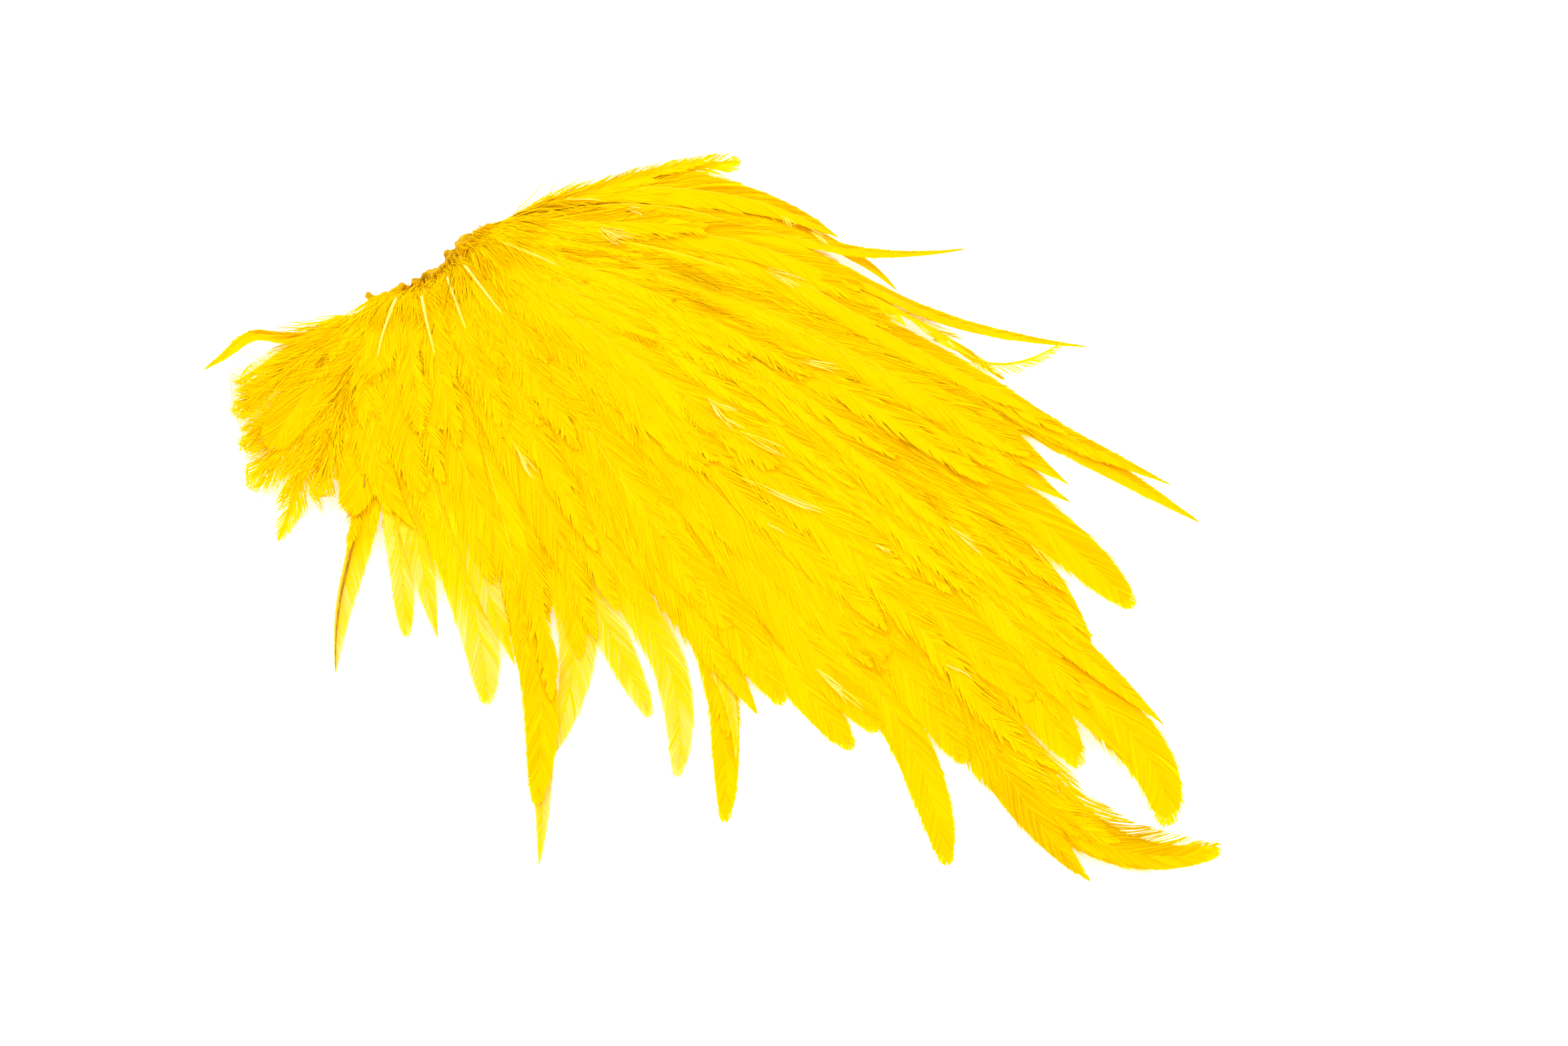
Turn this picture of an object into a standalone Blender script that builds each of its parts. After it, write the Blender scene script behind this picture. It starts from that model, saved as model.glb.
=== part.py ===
"""A rooster saddle hackle: dyed feathers still rooted in a small piece of dried skin, lying flat.

Units are metres and +Z is up. The driving dimensions below are in millimetres.

Each feather is a closed blade: a rachis that is a little thicker than its two vanes, which slope
down from it to thin edges. The feathers are laid one after another, from the lowest to the
topmost. Each comes to rest on the surface, on the skin and on the feathers laid before it.
"""

import math
from collections import namedtuple

import bmesh
import bpy
import numpy as np

MM = 0.001

# The air that every piece keeps to its neighbours.
GAP = 0.3

# The plan points below say where a thing is seen against the surface, from the front and from this
# angle above it. What stands at height h is really nearer by h / tan(angle).
SEEN_FROM = math.radians(55.0)
NEARER_PER_HEIGHT = 1.0 / math.tan(SEEN_FROM)

# The dried skin: a thin flat patch whose far edge has dried into a crumpled, lumpy ridge. Each
# point of the ridge is x, y, height and thickness, from its left end to its right end.
RIDGE = [
    (-84, 56, 2.6, 1.8),
    (-80, 57, 2.0, 1.2),
    (-76, 59, 3.2, 1.6),
    (-72, 62, 5.2, 2.8),
    (-69, 64, 5.0, 3.0),
    (-66, 69, 6.4, 4.2),
    (-63, 72, 6.2, 2.8),
    (-58, 74, 4.6, 1.6),
]
RIDGE_STEPS = 26
RIDGE_WRINKLE = 0.35
RIDGE_WRINKLE_RATE = 2.1
RIDGE_SWELL_SHARE = 0.25
RIDGE_SWELL_RATE = 1.7
RIDGE_BACK_SHARE = 0.72
RIDGE_FRONT_SHARE = 0.80
RIDGE_FOOT = 1.4
SKIN_THICKNESS = 1.5
SKIN_EDGE_THICKNESS = 0.8
SKIN_DEPTH = 38.0
SKIN_RUN_DIRECTION = math.radians(-56.0)
SKIN_RUNS = (0.1, 0.22, 0.38, 0.56, 0.74, 0.9, 1.0)
SKIN_WIDENS = 0.55
SKIN_END_ROUNDNESS = 0.8

# A feather's own shape.
RACHIS_THICKNESS = 0.8
RACHIS_TIP_THICKNESS = 0.45
VANE_EDGE_THICKNESS = 0.32
VANE_SLOPE = 0.06
QUILL_SHARE = 0.14
QUILL_LENGTH = 5.0
QUILL_POINT = 1.2
VANE_OPENS_OVER = 30.0
VANE_OPENS_SHARE = 0.4
TIP_SHARE = 0.55
STATION_SPACING = 15.0
TIP_STATIONS = (0.36, 0.67, 0.88, 0.975)
LIFT_STARTS_AT_SHARE = 0.6

# How far from its end each kind of tip starts to narrow, and the power of its outline.
Tip = namedtuple("Tip", "length power")
BLUNT = Tip(14.0, 0.40)
ROUND = Tip(26.0, 0.55)
POINTED = Tip(44.0, 0.95)

# How a feather lies: the steepest that it climbs, the deepest dip between two stations, and
# where the down at its base props it up highest. A layer is laid in turns, each of every
# fifth feather, so that neighbours close in over the gaps and don't climb on each other.
TURNS = 5
STEEPEST = 0.32
STEEPEST_TILT = 0.45
DEEPEST_DIP = 0.45
PROP_PEAK = 34.0
PROP_END = 120.0

# How finely the routes and the skin are sampled, and how often each search is gone over.
SAMPLES_PER_SPAN = 40
SAMPLES_PER_ROUTE = 400
SAMPLES_PER_PATCH = 24
TILT_CHOICES = 9
LEVEL_PREFERENCE = 0.02
LOWERING_PASSES = 12
EASING_PASSES = 6
SETTLING_PASSES = 5

# The grid that remembers how high the pile is: its cell, and the area that it covers.
CELL = 0.5
GRID_LOW = (-130.0, -100.0)
GRID_SIZE = (240.0, 220.0)

# A layer: how far from the ridge its feathers are rooted, how high their down props them up,
# and its feathers. A feather: its group, the kind of its tip, its width, how far its tip is
# lifted, and its route from the ridge to the tip.
Layer = namedtuple("Layer", "root_distance prop feathers")
Feather = namedtuple("Feather", "group tip width lift route")

LOW_LAYER = Layer(9.0, 2.0, [
    Feather("left", POINTED, 7, 5, [(-82, 56), (-93, 48), (-101, 44), (-108, 42), (-115, 37)]),
    Feather("left", BLUNT, 7, 2, [(-81, 57), (-92, 46), (-101, 39), (-109, 34)]),
    Feather("left", BLUNT, 9, 1, [(-80, 57), (-92, 42), (-101, 32), (-109, 27)]),
    Feather("left", BLUNT, 10, 0, [(-79, 58), (-90, 38), (-100, 24), (-107, 18)]),
    Feather("left", BLUNT, 11, 0, [(-79, 58), (-89, 35), (-97, 18), (-105, 10)]),
    Feather("left", POINTED, 11, 0, [(-78, 58), (-86, 34), (-93, 14), (-98, -4)]),
    Feather("hanging", POINTED, 6, 0, [(-76, 59), (-79, 32), (-80, 5), (-84, -17), (-85, -35)]),
    Feather("hanging", ROUND, 6, 0, [(-76, 59), (-78, 30), (-75, 2), (-72, -27)]),
    Feather("hanging", POINTED, 8, 0, [(-75, 60), (-76, 30), (-72, 2), (-66, -27)]),
    Feather("hanging", ROUND, 9, 0, [(-74, 60), (-74, 30), (-66, 0), (-58, -26), (-56, -42)]),
    Feather("long", POINTED, 6, 0, [(-73, 61), (-67, 30), (-55, -5), (-47, -38), (-45, -77)]),
    Feather("long", POINTED, 7, 0, [(-72, 61), (-62, 30), (-47, 0), (-40, -28), (-45, -56)]),
    Feather("long", ROUND, 7, 0, [(-71, 62), (-58, 28), (-41, -8), (-25, -45)]),
    Feather("long", ROUND, 7, 0, [(-70, 63), (-53, 28), (-34, -10), (-21, -36), (-20, -58)]),
    Feather("long", ROUND, 6, 0, [
        (-70, 63), (-50, 28), (-27, -10), (-13, -32), (-11, -50), (-11, -68)]),
    Feather("long", ROUND, 9, 0, [(-68, 65), (-43, 32), (-15, -10), (13, -52)]),
    Feather("long", ROUND, 8, 0, [(-67, 66), (-38, 32), (-4, -14), (21, -45), (30, -77)]),
    Feather("longest", ROUND, 7, 4, [
        (-66, 68), (-26, 34), (16, -12), (40, -40), (51, -60), (62, -70), (80, -72)]),
    Feather("longest", ROUND, 11, 5, [
        (-64, 70), (-20, 42), (26, -7), (53, -35), (66, -50), (70, -60), (70, -68)]),
    Feather("right", ROUND, 11, 1, [(-62, 72), (-14, 49), (32, 14), (54, -4), (67, -20)]),
    Feather("right", POINTED, 6, 1, [(-61, 73), (-10, 57), (36, 32), (60, 16), (81, 0)]),
    Feather("right", POINTED, 8, 1, [(-60, 74), (-14, 66), (20, 52), (44, 35)]),
    Feather("far", POINTED, 8, 1, [(-59, 74), (-26, 78), (2, 72), (14, 66), (23, 57)]),
    Feather("far", BLUNT, 8, 1, [(-58, 74), (-42, 82), (-26, 87), (-9, 92)]),
])

MIDDLE_LAYER = Layer(6.0, 6.0, [
    Feather("left", BLUNT, 10, 0, [(-78, 58), (-84, 38), (-88, 20), (-90, 6)]),
    Feather("hanging", BLUNT, 9, 0, [(-77, 59), (-81, 34), (-82, 16), (-84, 2)]),
    Feather("hanging", ROUND, 10, 0, [(-72, 61), (-65, 30), (-55, 4), (-47, -24)]),
    Feather("hanging", POINTED, 8, 0, [(-73, 60), (-68, 30), (-61, 0), (-51, -33)]),
    Feather("long", ROUND, 7, 0, [(-72, 61), (-62, 28), (-52, -8), (-46, -38), (-46, -64)]),
    Feather("long", POINTED, 5, 0, [(-69, 64), (-48, 26), (-24, -14), (-11, -38), (-9, -54)]),
    Feather("long", POINTED, 11, 0, [(-68, 65), (-46, 28), (-22, -12), (-5, -44)]),
    Feather("long", ROUND, 9, 0, [(-68, 65), (-46, 31), (-18, -8), (0, -42)]),
    Feather("long", ROUND, 10, 0, [(-67, 66), (-38, 34), (-6, -12), (18, -48)]),
    Feather("long", ROUND, 8, 0, [(-66, 68), (-30, 36), (10, -14), (34, -55)]),
    Feather("longest", ROUND, 7, 5, [
        (-65, 69), (-26, 36), (16, -14), (39, -47), (50, -66), (62, -73), (80, -73)]),
    Feather("longest", POINTED, 10, 2, [
        (-65, 69), (-26, 36), (14, -16), (37, -48), (46, -66), (56, -80)]),
    Feather("longest", ROUND, 11, 1, [(-64, 70), (-22, 42), (24, -8), (44, -34), (55, -56)]),
    Feather("longest", POINTED, 8, 2, [(-64, 71), (-20, 44), (28, -4), (50, -34), (64, -54)]),
    Feather("longest", POINTED, 8, 2, [(-63, 71), (-18, 46), (28, 0), (54, -27), (71, -46)]),
    Feather("longest", ROUND, 11, 0, [(-62, 72), (-16, 50), (31, 8), (48, -13), (58, -31)]),
    Feather("right", POINTED, 11, 0, [(-61, 73), (-12, 55), (30, 24), (56, 5)]),
    Feather("right", POINTED, 10, 0, [(-61, 73), (-10, 58), (30, 31), (56, 9)]),
    Feather("right", POINTED, 6, 2, [(-60, 73), (-10, 61), (32, 37), (56, 21), (76, 9)]),
    Feather("right", POINTED, 8, 0, [(-59, 74), (-12, 67), (24, 44), (55, 24)]),
    Feather("right", POINTED, 4, 4, [(-58, 74), (-14, 73), (10, 62), (28, 52), (61, 43)]),
    Feather("far", POINTED, 4, 4, [(-58, 74), (-26, 78), (0, 71), (18, 67), (37, 68)]),
    Feather("far", POINTED, 11, 0, [(-58, 74), (-34, 83), (-11, 82), (11, 71)]),
    Feather("far", POINTED, 6, 2, [(-59, 74), (-46, 81), (-31, 87), (-14, 94)]),
])

TOP_LAYER = Layer(3.0, 10.0, [
    Feather("top", BLUNT, 10, 0, [(-80, 57), (-88, 44), (-95, 31), (-101, 20)]),
    Feather("top", POINTED, 7, 0, [(-76, 59), (-81, 36), (-79, 16), (-71, 1)]),
    Feather("top", POINTED, 9, 0, [(-73, 60), (-69, 40), (-62, 14), (-54, -8)]),
    Feather("top", ROUND, 9, 0, [(-69, 64), (-60, 38), (-48, 10), (-38, -16)]),
    Feather("top", ROUND, 10, 0, [(-67, 66), (-50, 42), (-32, 12), (-10, -24)]),
    Feather("top", ROUND, 10, 0, [(-66, 68), (-41, 42), (-14, 8), (20, -31)]),
    Feather("top", ROUND, 10, 0, [(-65, 69), (-36, 44), (-6, 16), (47, -40)]),
    Feather("top", ROUND, 9, 0, [(-64, 69), (-31, 48), (-4, 26), (20, 11)]),
    Feather("top", ROUND, 10, 0, [(-63, 71), (-26, 52), (10, 24), (41, -9)]),
    Feather("top", POINTED, 9, 0, [(-62, 72), (-22, 59), (14, 40), (50, 15)]),
    Feather("top", ROUND, 10, 0, [(-60, 74), (-30, 74), (-6, 69), (16, 57)]),
])

# The colours: a bright yellow dye, a little deeper in the lower layers, and amber dried skin.
LAYER_COLOURS = ((0.82, 0.50, 0.010), (0.90, 0.58, 0.010), (0.95, 0.66, 0.012))
SKIN_COLOUR = (0.62, 0.31, 0.03)
FEATHER_ROUGHNESS = 0.6
SKIN_ROUGHNESS = 0.45


def clear_scene():
    for thing in list(bpy.data.objects):
        bpy.data.objects.remove(thing, do_unlink=True)


def smooth_curve(points, count):
    """Places along one smooth curve through the points, at equal distances, as rows."""
    given = np.array(points, float)
    run = np.linalg.norm(np.diff(given[:, :2], axis=0), axis=1)
    slope = np.diff(given, axis=0) / run[:, None]
    tangent = np.empty_like(given)
    share = (run[:-1] / (run[:-1] + run[1:]))[:, None]
    tangent[1:-1] = slope[:-1] * (1.0 - share) + slope[1:] * share
    tangent[0] = 2.0 * slope[0] - tangent[1]
    tangent[-1] = 2.0 * slope[-1] - tangent[-2]
    fine = []
    for i, length in enumerate(run):
        t = np.linspace(0.0, 1.0, SAMPLES_PER_SPAN)[:, None]
        start = given[i] * (2 * t**3 - 3 * t**2 + 1) + given[i + 1] * (3 * t**2 - 2 * t**3)
        bend = tangent[i] * (t**3 - 2 * t**2 + t) + tangent[i + 1] * (t**3 - t**2)
        fine.append((start + bend * length)[: None if i == len(run) - 1 else -1])
    fine = np.vstack(fine)
    along = np.concatenate([[0.0], np.cumsum(np.linalg.norm(np.diff(fine[:, :2], axis=0), axis=1))])
    places = np.linspace(0.0, along[-1], count)
    rows = np.column_stack([np.interp(places, along, column) for column in fine.T])
    return rows, along[-1]


def crosswise(plan):
    """The level direction across a route at each of its points, to the left of its run."""
    run = np.gradient(plan, axis=0)
    run /= np.linalg.norm(run, axis=1)[:, None]
    return np.column_stack([-run[:, 1], run[:, 0]])


def skin_surface():
    """The skin's upper side, as a grid of points: along the ridge, and across it to the far end."""
    ridge, _ = smooth_curve(RIDGE, RIDGE_STEPS)
    number = np.arange(RIDGE_STEPS)
    height = ridge[:, 2] + RIDGE_WRINKLE * np.sin(number * RIDGE_WRINKLE_RATE)
    half = ridge[:, 3] / 2.0 * (1.0 + RIDGE_SWELL_SHARE * np.sin(number * RIDGE_SWELL_RATE))
    plan = ridge[:, :2] + np.column_stack([0.0 * height, -NEARER_PER_HEIGHT * height])
    front = -crosswise(plan)
    rows = [
        np.column_stack([plan - front * half[:, None], height * RIDGE_BACK_SHARE]),
        np.column_stack([plan, height]),
        np.column_stack([plan + front * half[:, None], height * RIDGE_FRONT_SHARE]),
    ]
    foot = plan + front * (half + RIDGE_FOOT)[:, None]
    rows.append(np.column_stack([foot, 0.0 * height + SKIN_THICKNESS]))
    middle = foot.mean(axis=0)
    away = np.array([math.cos(SKIN_RUN_DIRECTION), math.sin(SKIN_RUN_DIRECTION)])
    across = np.linspace(-1.0, 1.0, RIDGE_STEPS)
    reach = SKIN_DEPTH * np.sqrt(1.0 - SKIN_END_ROUNDNESS * across**2)
    for share in SKIN_RUNS:
        widened = middle + (foot - middle) * (1.0 + SKIN_WIDENS * math.sin(math.pi * share**0.6))
        place = widened + away * (reach * share)[:, None]
        thick = SKIN_THICKNESS + (SKIN_EDGE_THICKNESS - SKIN_THICKNESS) * share
        rows.append(np.column_stack([place, 0.0 * height + thick]))
    return np.array(rows)


def vane_share(along, length, tip_length, tip_power):
    """A feather's width at a distance from its root, as a share of its full width."""
    opens_over = min(VANE_OPENS_OVER, VANE_OPENS_SHARE * length)
    opened = np.clip((along - QUILL_LENGTH) / opens_over, 0.0, 1.0)
    opened = opened * opened * (3.0 - 2.0 * opened)
    share = QUILL_SHARE + (1.0 - QUILL_SHARE) * opened
    narrowing = np.clip((along - (length - tip_length)) / tip_length, 0.0, 1.0)
    return share * (1.0 - narrowing**2) ** tip_power


class Blade:
    """One feather's stations, from the point of its quill to the point of its tip."""

    def __init__(self, feather, layer):
        fine, whole = smooth_curve(feather.route, SAMPLES_PER_ROUTE)
        start = layer.root_distance
        length = whole - start
        tip_length = min(feather.tip.length, TIP_SHARE * length)
        body_end = length - tip_length
        body = np.linspace(QUILL_POINT, body_end, max(3, round(body_end / STATION_SPACING) + 1))
        tip = [body_end + tip_length * share for share in TIP_STATIONS]
        self.along = np.concatenate([[0.0], body, tip, [length]])
        places = np.linspace(0.0, whole, len(fine))
        columns = [np.interp(self.along + start, places, column) for column in fine.T]
        self.seen = np.column_stack(columns)
        share = vane_share(self.along, length, tip_length, feather.tip.power)
        self.half = feather.width / 2.0 * share
        part = self.along / length
        self.thick = RACHIS_THICKNESS + (RACHIS_TIP_THICKNESS - RACHIS_THICKNESS) * part**1.5
        self.edge = np.full(len(self.along), VANE_EDGE_THICKNESS)
        for end in (0, -1):
            self.half[end] = self.thick[end] = self.edge[end] = 0.0
        rise = np.clip(self.along / PROP_PEAK, 0.0, 1.0)
        fall = np.clip((PROP_END - self.along) / (PROP_END - PROP_PEAK), 0.0, 1.0)
        prop = layer.prop * np.minimum(rise * (2.0 - rise), fall * fall * (3.0 - 2.0 * fall))
        lifted = np.clip((part - LIFT_STARTS_AT_SHARE) / (1.0 - LIFT_STARTS_AT_SHARE), 0.0, 1.0)
        self.held_up = prop + feather.lift * lifted**2 * (3.0 - 2.0 * lifted)
        self.height = np.zeros(len(self.along))

    def lay(self, ground):
        """Finds how high each station comes to lie on the ground grid, and how it is tilted."""
        self.plan = self.seen - np.column_stack([0 * self.height, NEARER_PER_HEIGHT * self.height])
        self.across = crosswise(self.plan)
        row, share = self.sample_rows()
        reach = self.half.max() + GAP
        across = np.linspace(-1.0, 1.0, math.ceil(4.0 * reach / CELL) + 1)
        spread = (self.blend(self.half, row, share) + GAP)[:, None] * across
        lower_middle = self.blend(-self.thick / 2.0, row, share)[:, None]
        lower_edge = self.blend(-self.half * VANE_SLOPE - self.edge / 2.0, row, share)[:, None]
        lower = lower_middle + (lower_edge - lower_middle) * np.abs(across)
        needed = ground[self.cells(row, share, spread)] + GAP - lower
        self.tilt = self.eased_tilt(needed, row, share, across)
        needed = (needed - self.blend(self.tilt, row, share)[:, None] * across).max(axis=1)
        edge_below = self.half * VANE_SLOPE + self.edge / 2.0 + np.abs(self.tilt)
        lowest = np.maximum(self.thick / 2.0, edge_below)
        self.height = self.eased(np.maximum(self.lowered(needed, row, share), lowest))

    def eased_tilt(self, needed, row, share, across):
        """How far each station's left edge is raised so that the blade lies lowest, smoothed."""
        steepest = self.blend(self.half, row, share) * STEEPEST_TILT
        choices = np.linspace(-1.0, 1.0, TILT_CHOICES)
        tilts = steepest[:, None] * choices
        tops = [(needed - tilts[:, k : k + 1] * across).max(axis=1) for k in range(len(choices))]
        best = (np.array(tops).T + LEVEL_PREFERENCE * np.abs(choices)).argmin(axis=1)
        wanted = np.take_along_axis(tilts, best[:, None], axis=1)[:, 0]
        count = len(self.along)
        near = np.bincount(row, wanted * (1.0 - share), count)
        far = np.bincount(row + 1, wanted * share, count)
        weight = np.bincount(row, 1.0 - share, count) + np.bincount(row + 1, share, count)
        tilt = (near + far) / weight
        for _ in range(2):
            tilt[1:-1] = (tilt[:-2] + 2.0 * tilt[1:-1] + tilt[2:]) / 4.0
        tilt[0] = tilt[-1] = 0.0
        return np.clip(tilt, -self.half * STEEPEST_TILT, self.half * STEEPEST_TILT)

    def lowered(self, needed, row, share):
        """The stations' heights, let down from well above until the blade touches."""
        count = len(self.along)
        touching = [np.flatnonzero((row == i) | (row == i - 1)) for i in range(count)]
        height = np.array([max(self.held_up[i], needed[touching[i]].max()) for i in range(count)])
        for _ in range(LOWERING_PASSES):
            for i in range(count):
                rows = touching[i]
                weight = np.where(row[rows] == i, 1.0 - share[rows], share[rows])
                slack = self.blend(height, row[rows], share[rows]) - needed[rows]
                height[i] = max(self.held_up[i], height[i] - (slack / weight).min())
        return height

    def eased(self, height):
        """The same heights, raised where a feather would be too steep or too sharply dipped."""
        run = np.diff(self.along)
        for _ in range(EASING_PASSES):
            for i in range(1, len(height)):
                height[i] = max(height[i], height[i - 1] - STEEPEST * run[i - 1])
            for i in range(len(height) - 2, -1, -1):
                height[i] = max(height[i], height[i + 1] - STEEPEST * run[i])
            for i in range(1, len(height) - 1):
                t = run[i - 1] / (run[i - 1] + run[i])
                straight = height[i - 1] + (height[i + 1] - height[i - 1]) * t
                height[i] = max(height[i], straight - DEEPEST_DIP)
        return height

    def sample_rows(self):
        """Closely spaced rows along the blade: the station before each, and the share past it."""
        row = []
        share = []
        for i, run in enumerate(np.diff(self.along)):
            count = math.ceil(run / (0.7 * CELL))
            row += [i] * count
            share += list((np.arange(count) + 0.5) / count)
        return np.array(row), np.array(share)

    def blend(self, values, row, share):
        return values[row] * (1.0 - share) + values[row + 1] * share

    def cells(self, row, share, spread):
        """The grid cells under the rows' points that lie so far across the blade."""
        place = []
        for axis in (0, 1):
            middle = self.blend(self.plan[:, axis], row, share)
            side = self.blend(self.across[:, axis], row, share)
            cell = (middle[:, None] + side[:, None] * spread - GRID_LOW[axis]) / CELL
            place.append(cell.astype(int))
        return tuple(place)

    def add_to(self, ground):
        """Raises the ground grid to this feather's upper side, and one cell around it."""
        row, share = self.sample_rows()
        across = np.linspace(-1.0, 1.0, math.ceil(5.0 * self.half.max() / CELL) + 1)
        spread = self.blend(self.half, row, share)[:, None] * across
        middle = self.blend(self.height + self.thick / 2.0, row, share)[:, None]
        edge_top = self.height - self.half * VANE_SLOPE + self.edge / 2.0
        edge = self.blend(edge_top, row, share)[:, None]
        tilted = self.blend(self.tilt, row, share)[:, None] * across
        top = middle + (edge - middle) * np.abs(across) + tilted
        raise_ground(ground, self.cells(row, share, spread), top)

    def rings(self):
        """The six corners of the blade at each station, the middle ones first and last a point."""
        rings = []
        for i, (x, y) in enumerate(self.plan):
            side = self.across[i] * self.half[i]
            drop = -self.half[i] * VANE_SLOPE
            corners = []
            for sign, level in ((1, 1), (0, 1), (-1, 1), (-1, -1), (0, -1), (1, -1)):
                thick = self.edge[i] if sign else self.thick[i]
                z = self.height[i] + sign * self.tilt[i] + abs(sign) * drop + level * thick / 2.0
                corners.append((x + sign * side[0], y + sign * side[1], z))
            rings.append(corners)
        return [rings[0][:1]] + rings[1:-1] + [rings[-1][:1]]


def raise_ground(ground, cells, heights):
    """Raises the ground grid to the heights at the cells, and in the cells next to them."""
    heights = np.broadcast_to(heights, cells[0].shape)
    for dx in (-1, 0, 1):
        for dy in (-1, 0, 1):
            np.maximum.at(ground, (cells[0] + dx, cells[1] + dy), heights)


def bare_ground(skin):
    """The grid before any feather is laid: the bare surface, with the skin on it."""
    cells = [int(size / CELL) for size in GRID_SIZE]
    ground = np.full(cells, -GAP)
    t = np.linspace(0.0, 1.0, SAMPLES_PER_PATCH)
    for i in range(skin.shape[0] - 1):
        for j in range(skin.shape[1] - 1):
            near = skin[i, j] + (skin[i, j + 1] - skin[i, j]) * t[:, None]
            far = skin[i + 1, j] + (skin[i + 1, j + 1] - skin[i + 1, j]) * t[:, None]
            patch = near[None] + (far - near)[None] * t[:, None, None]
            place = tuple(((patch[..., a] - GRID_LOW[a]) / CELL).astype(int) for a in (0, 1))
            raise_ground(ground, place, patch[..., 2])
    return ground


def lay_feathers(skin):
    """All the blades, laid in order. A few passes settle where what is seen high up really is."""
    named = []
    counts = {}
    for layer, colour in zip((LOW_LAYER, MIDDLE_LAYER, TOP_LAYER), LAYER_COLOURS):
        blades = []
        for feather in layer.feathers:
            counts[feather.group] = counts.get(feather.group, 0) + 1
            name = f"{feather.group}_feather_{counts[feather.group]}"
            blades.append((name, Blade(feather, layer), colour))
        for turn in range(TURNS):
            named += blades[turn::TURNS]
    for _ in range(SETTLING_PASSES):
        ground = bare_ground(skin)
        for _, blade, _ in named:
            blade.lay(ground)
            blade.add_to(ground)
    return named


def finish(name, colour, roughness):
    """A plain dyed or dried finish for one piece."""
    material = bpy.data.materials.new(name)
    material.use_nodes = True
    shader = material.node_tree.nodes["Principled BSDF"]
    shader.inputs["Base Color"].default_value = (*colour, 1.0)
    shader.inputs["Roughness"].default_value = roughness
    shader.inputs["Metallic"].default_value = 0.0
    return material


def add_object(name, mesh_builder, origin, colour, roughness):
    """An object whose origin is its root, from a bmesh in millimetres about that origin."""
    bmesh.ops.recalc_face_normals(mesh_builder, faces=mesh_builder.faces)
    bmesh.ops.scale(mesh_builder, vec=(MM, MM, MM), verts=mesh_builder.verts)
    mesh = bpy.data.meshes.new(name)
    mesh_builder.to_mesh(mesh)
    mesh_builder.free()
    mesh.shade_smooth()
    mesh.materials.append(finish(name, colour, roughness))
    thing = bpy.data.objects.new(name, mesh)
    thing.location = [value * MM for value in origin]
    bpy.context.scene.collection.objects.link(thing)
    return thing


def add_feather(name, rings, colour, shift):
    """One closed blade through its rings of six corners, from the quill's point to the tip's."""
    origin = np.array(rings[0][0])
    bm = bmesh.new()
    loops = [[bm.verts.new(np.array(corner) - origin) for corner in ring] for ring in rings]
    for near, far in zip(loops[1:-2], loops[2:-1]):
        for k in range(6):
            bm.faces.new((near[k], near[(k + 1) % 6], far[(k + 1) % 6], far[k]))
    for point, loop in ((loops[0][0], loops[1]), (loops[-1][0], loops[-2])):
        for k in range(6):
            bm.faces.new((point, loop[k], loop[(k + 1) % 6]))
    return add_object(name, bm, origin + shift, colour, FEATHER_ROUGHNESS)


def add_skin(surface, shift):
    """The skin: its upper side as a grid, drawn down to a flat underside."""
    origin = np.array([*surface[1, RIDGE_STEPS // 2, :2], 0.0])
    bm = bmesh.new()
    grid = [[bm.verts.new(point - origin) for point in row] for row in surface]
    for near, far in zip(grid[:-1], grid[1:]):
        for k in range(RIDGE_STEPS - 1):
            bm.faces.new((near[k], near[k + 1], far[k + 1], far[k]))
    drawn = bmesh.ops.extrude_face_region(bm, geom=bm.faces[:])
    for vertex in drawn["geom"]:
        if isinstance(vertex, bmesh.types.BMVert):
            vertex.co.z = 0.0
    return add_object("skin", bm, origin + shift, SKIN_COLOUR, SKIN_ROUGHNESS)


def main():
    clear_scene()
    skin = skin_surface()
    feathers = [(name, blade.rings(), colour) for name, blade, colour in lay_feathers(skin)]
    corners = np.vstack([skin.reshape(-1, 3)] + [np.vstack(rings) for _, rings, _ in feathers])
    low = corners.min(axis=0)
    high = corners.max(axis=0)
    shift = np.array([-(low[0] + high[0]) / 2.0, -(low[1] + high[1]) / 2.0, 0.0])
    add_skin(skin, shift)
    for name, rings, colour in feathers:
        add_feather(name, rings, colour, shift)


main()
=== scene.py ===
"""A rooster saddle hackle, dyed yellow, lying on a pale surface with its feathers fanned out.

Lengths are in millimetres up to the meshes, which are in metres. Every feather is a rachis with
hundreds of barbs, and its outline, height and tilt come from its solid in the frame.
"""

import math
from collections import namedtuple

import bmesh
import bpy
import numpy as np
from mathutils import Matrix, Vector, noise


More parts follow.
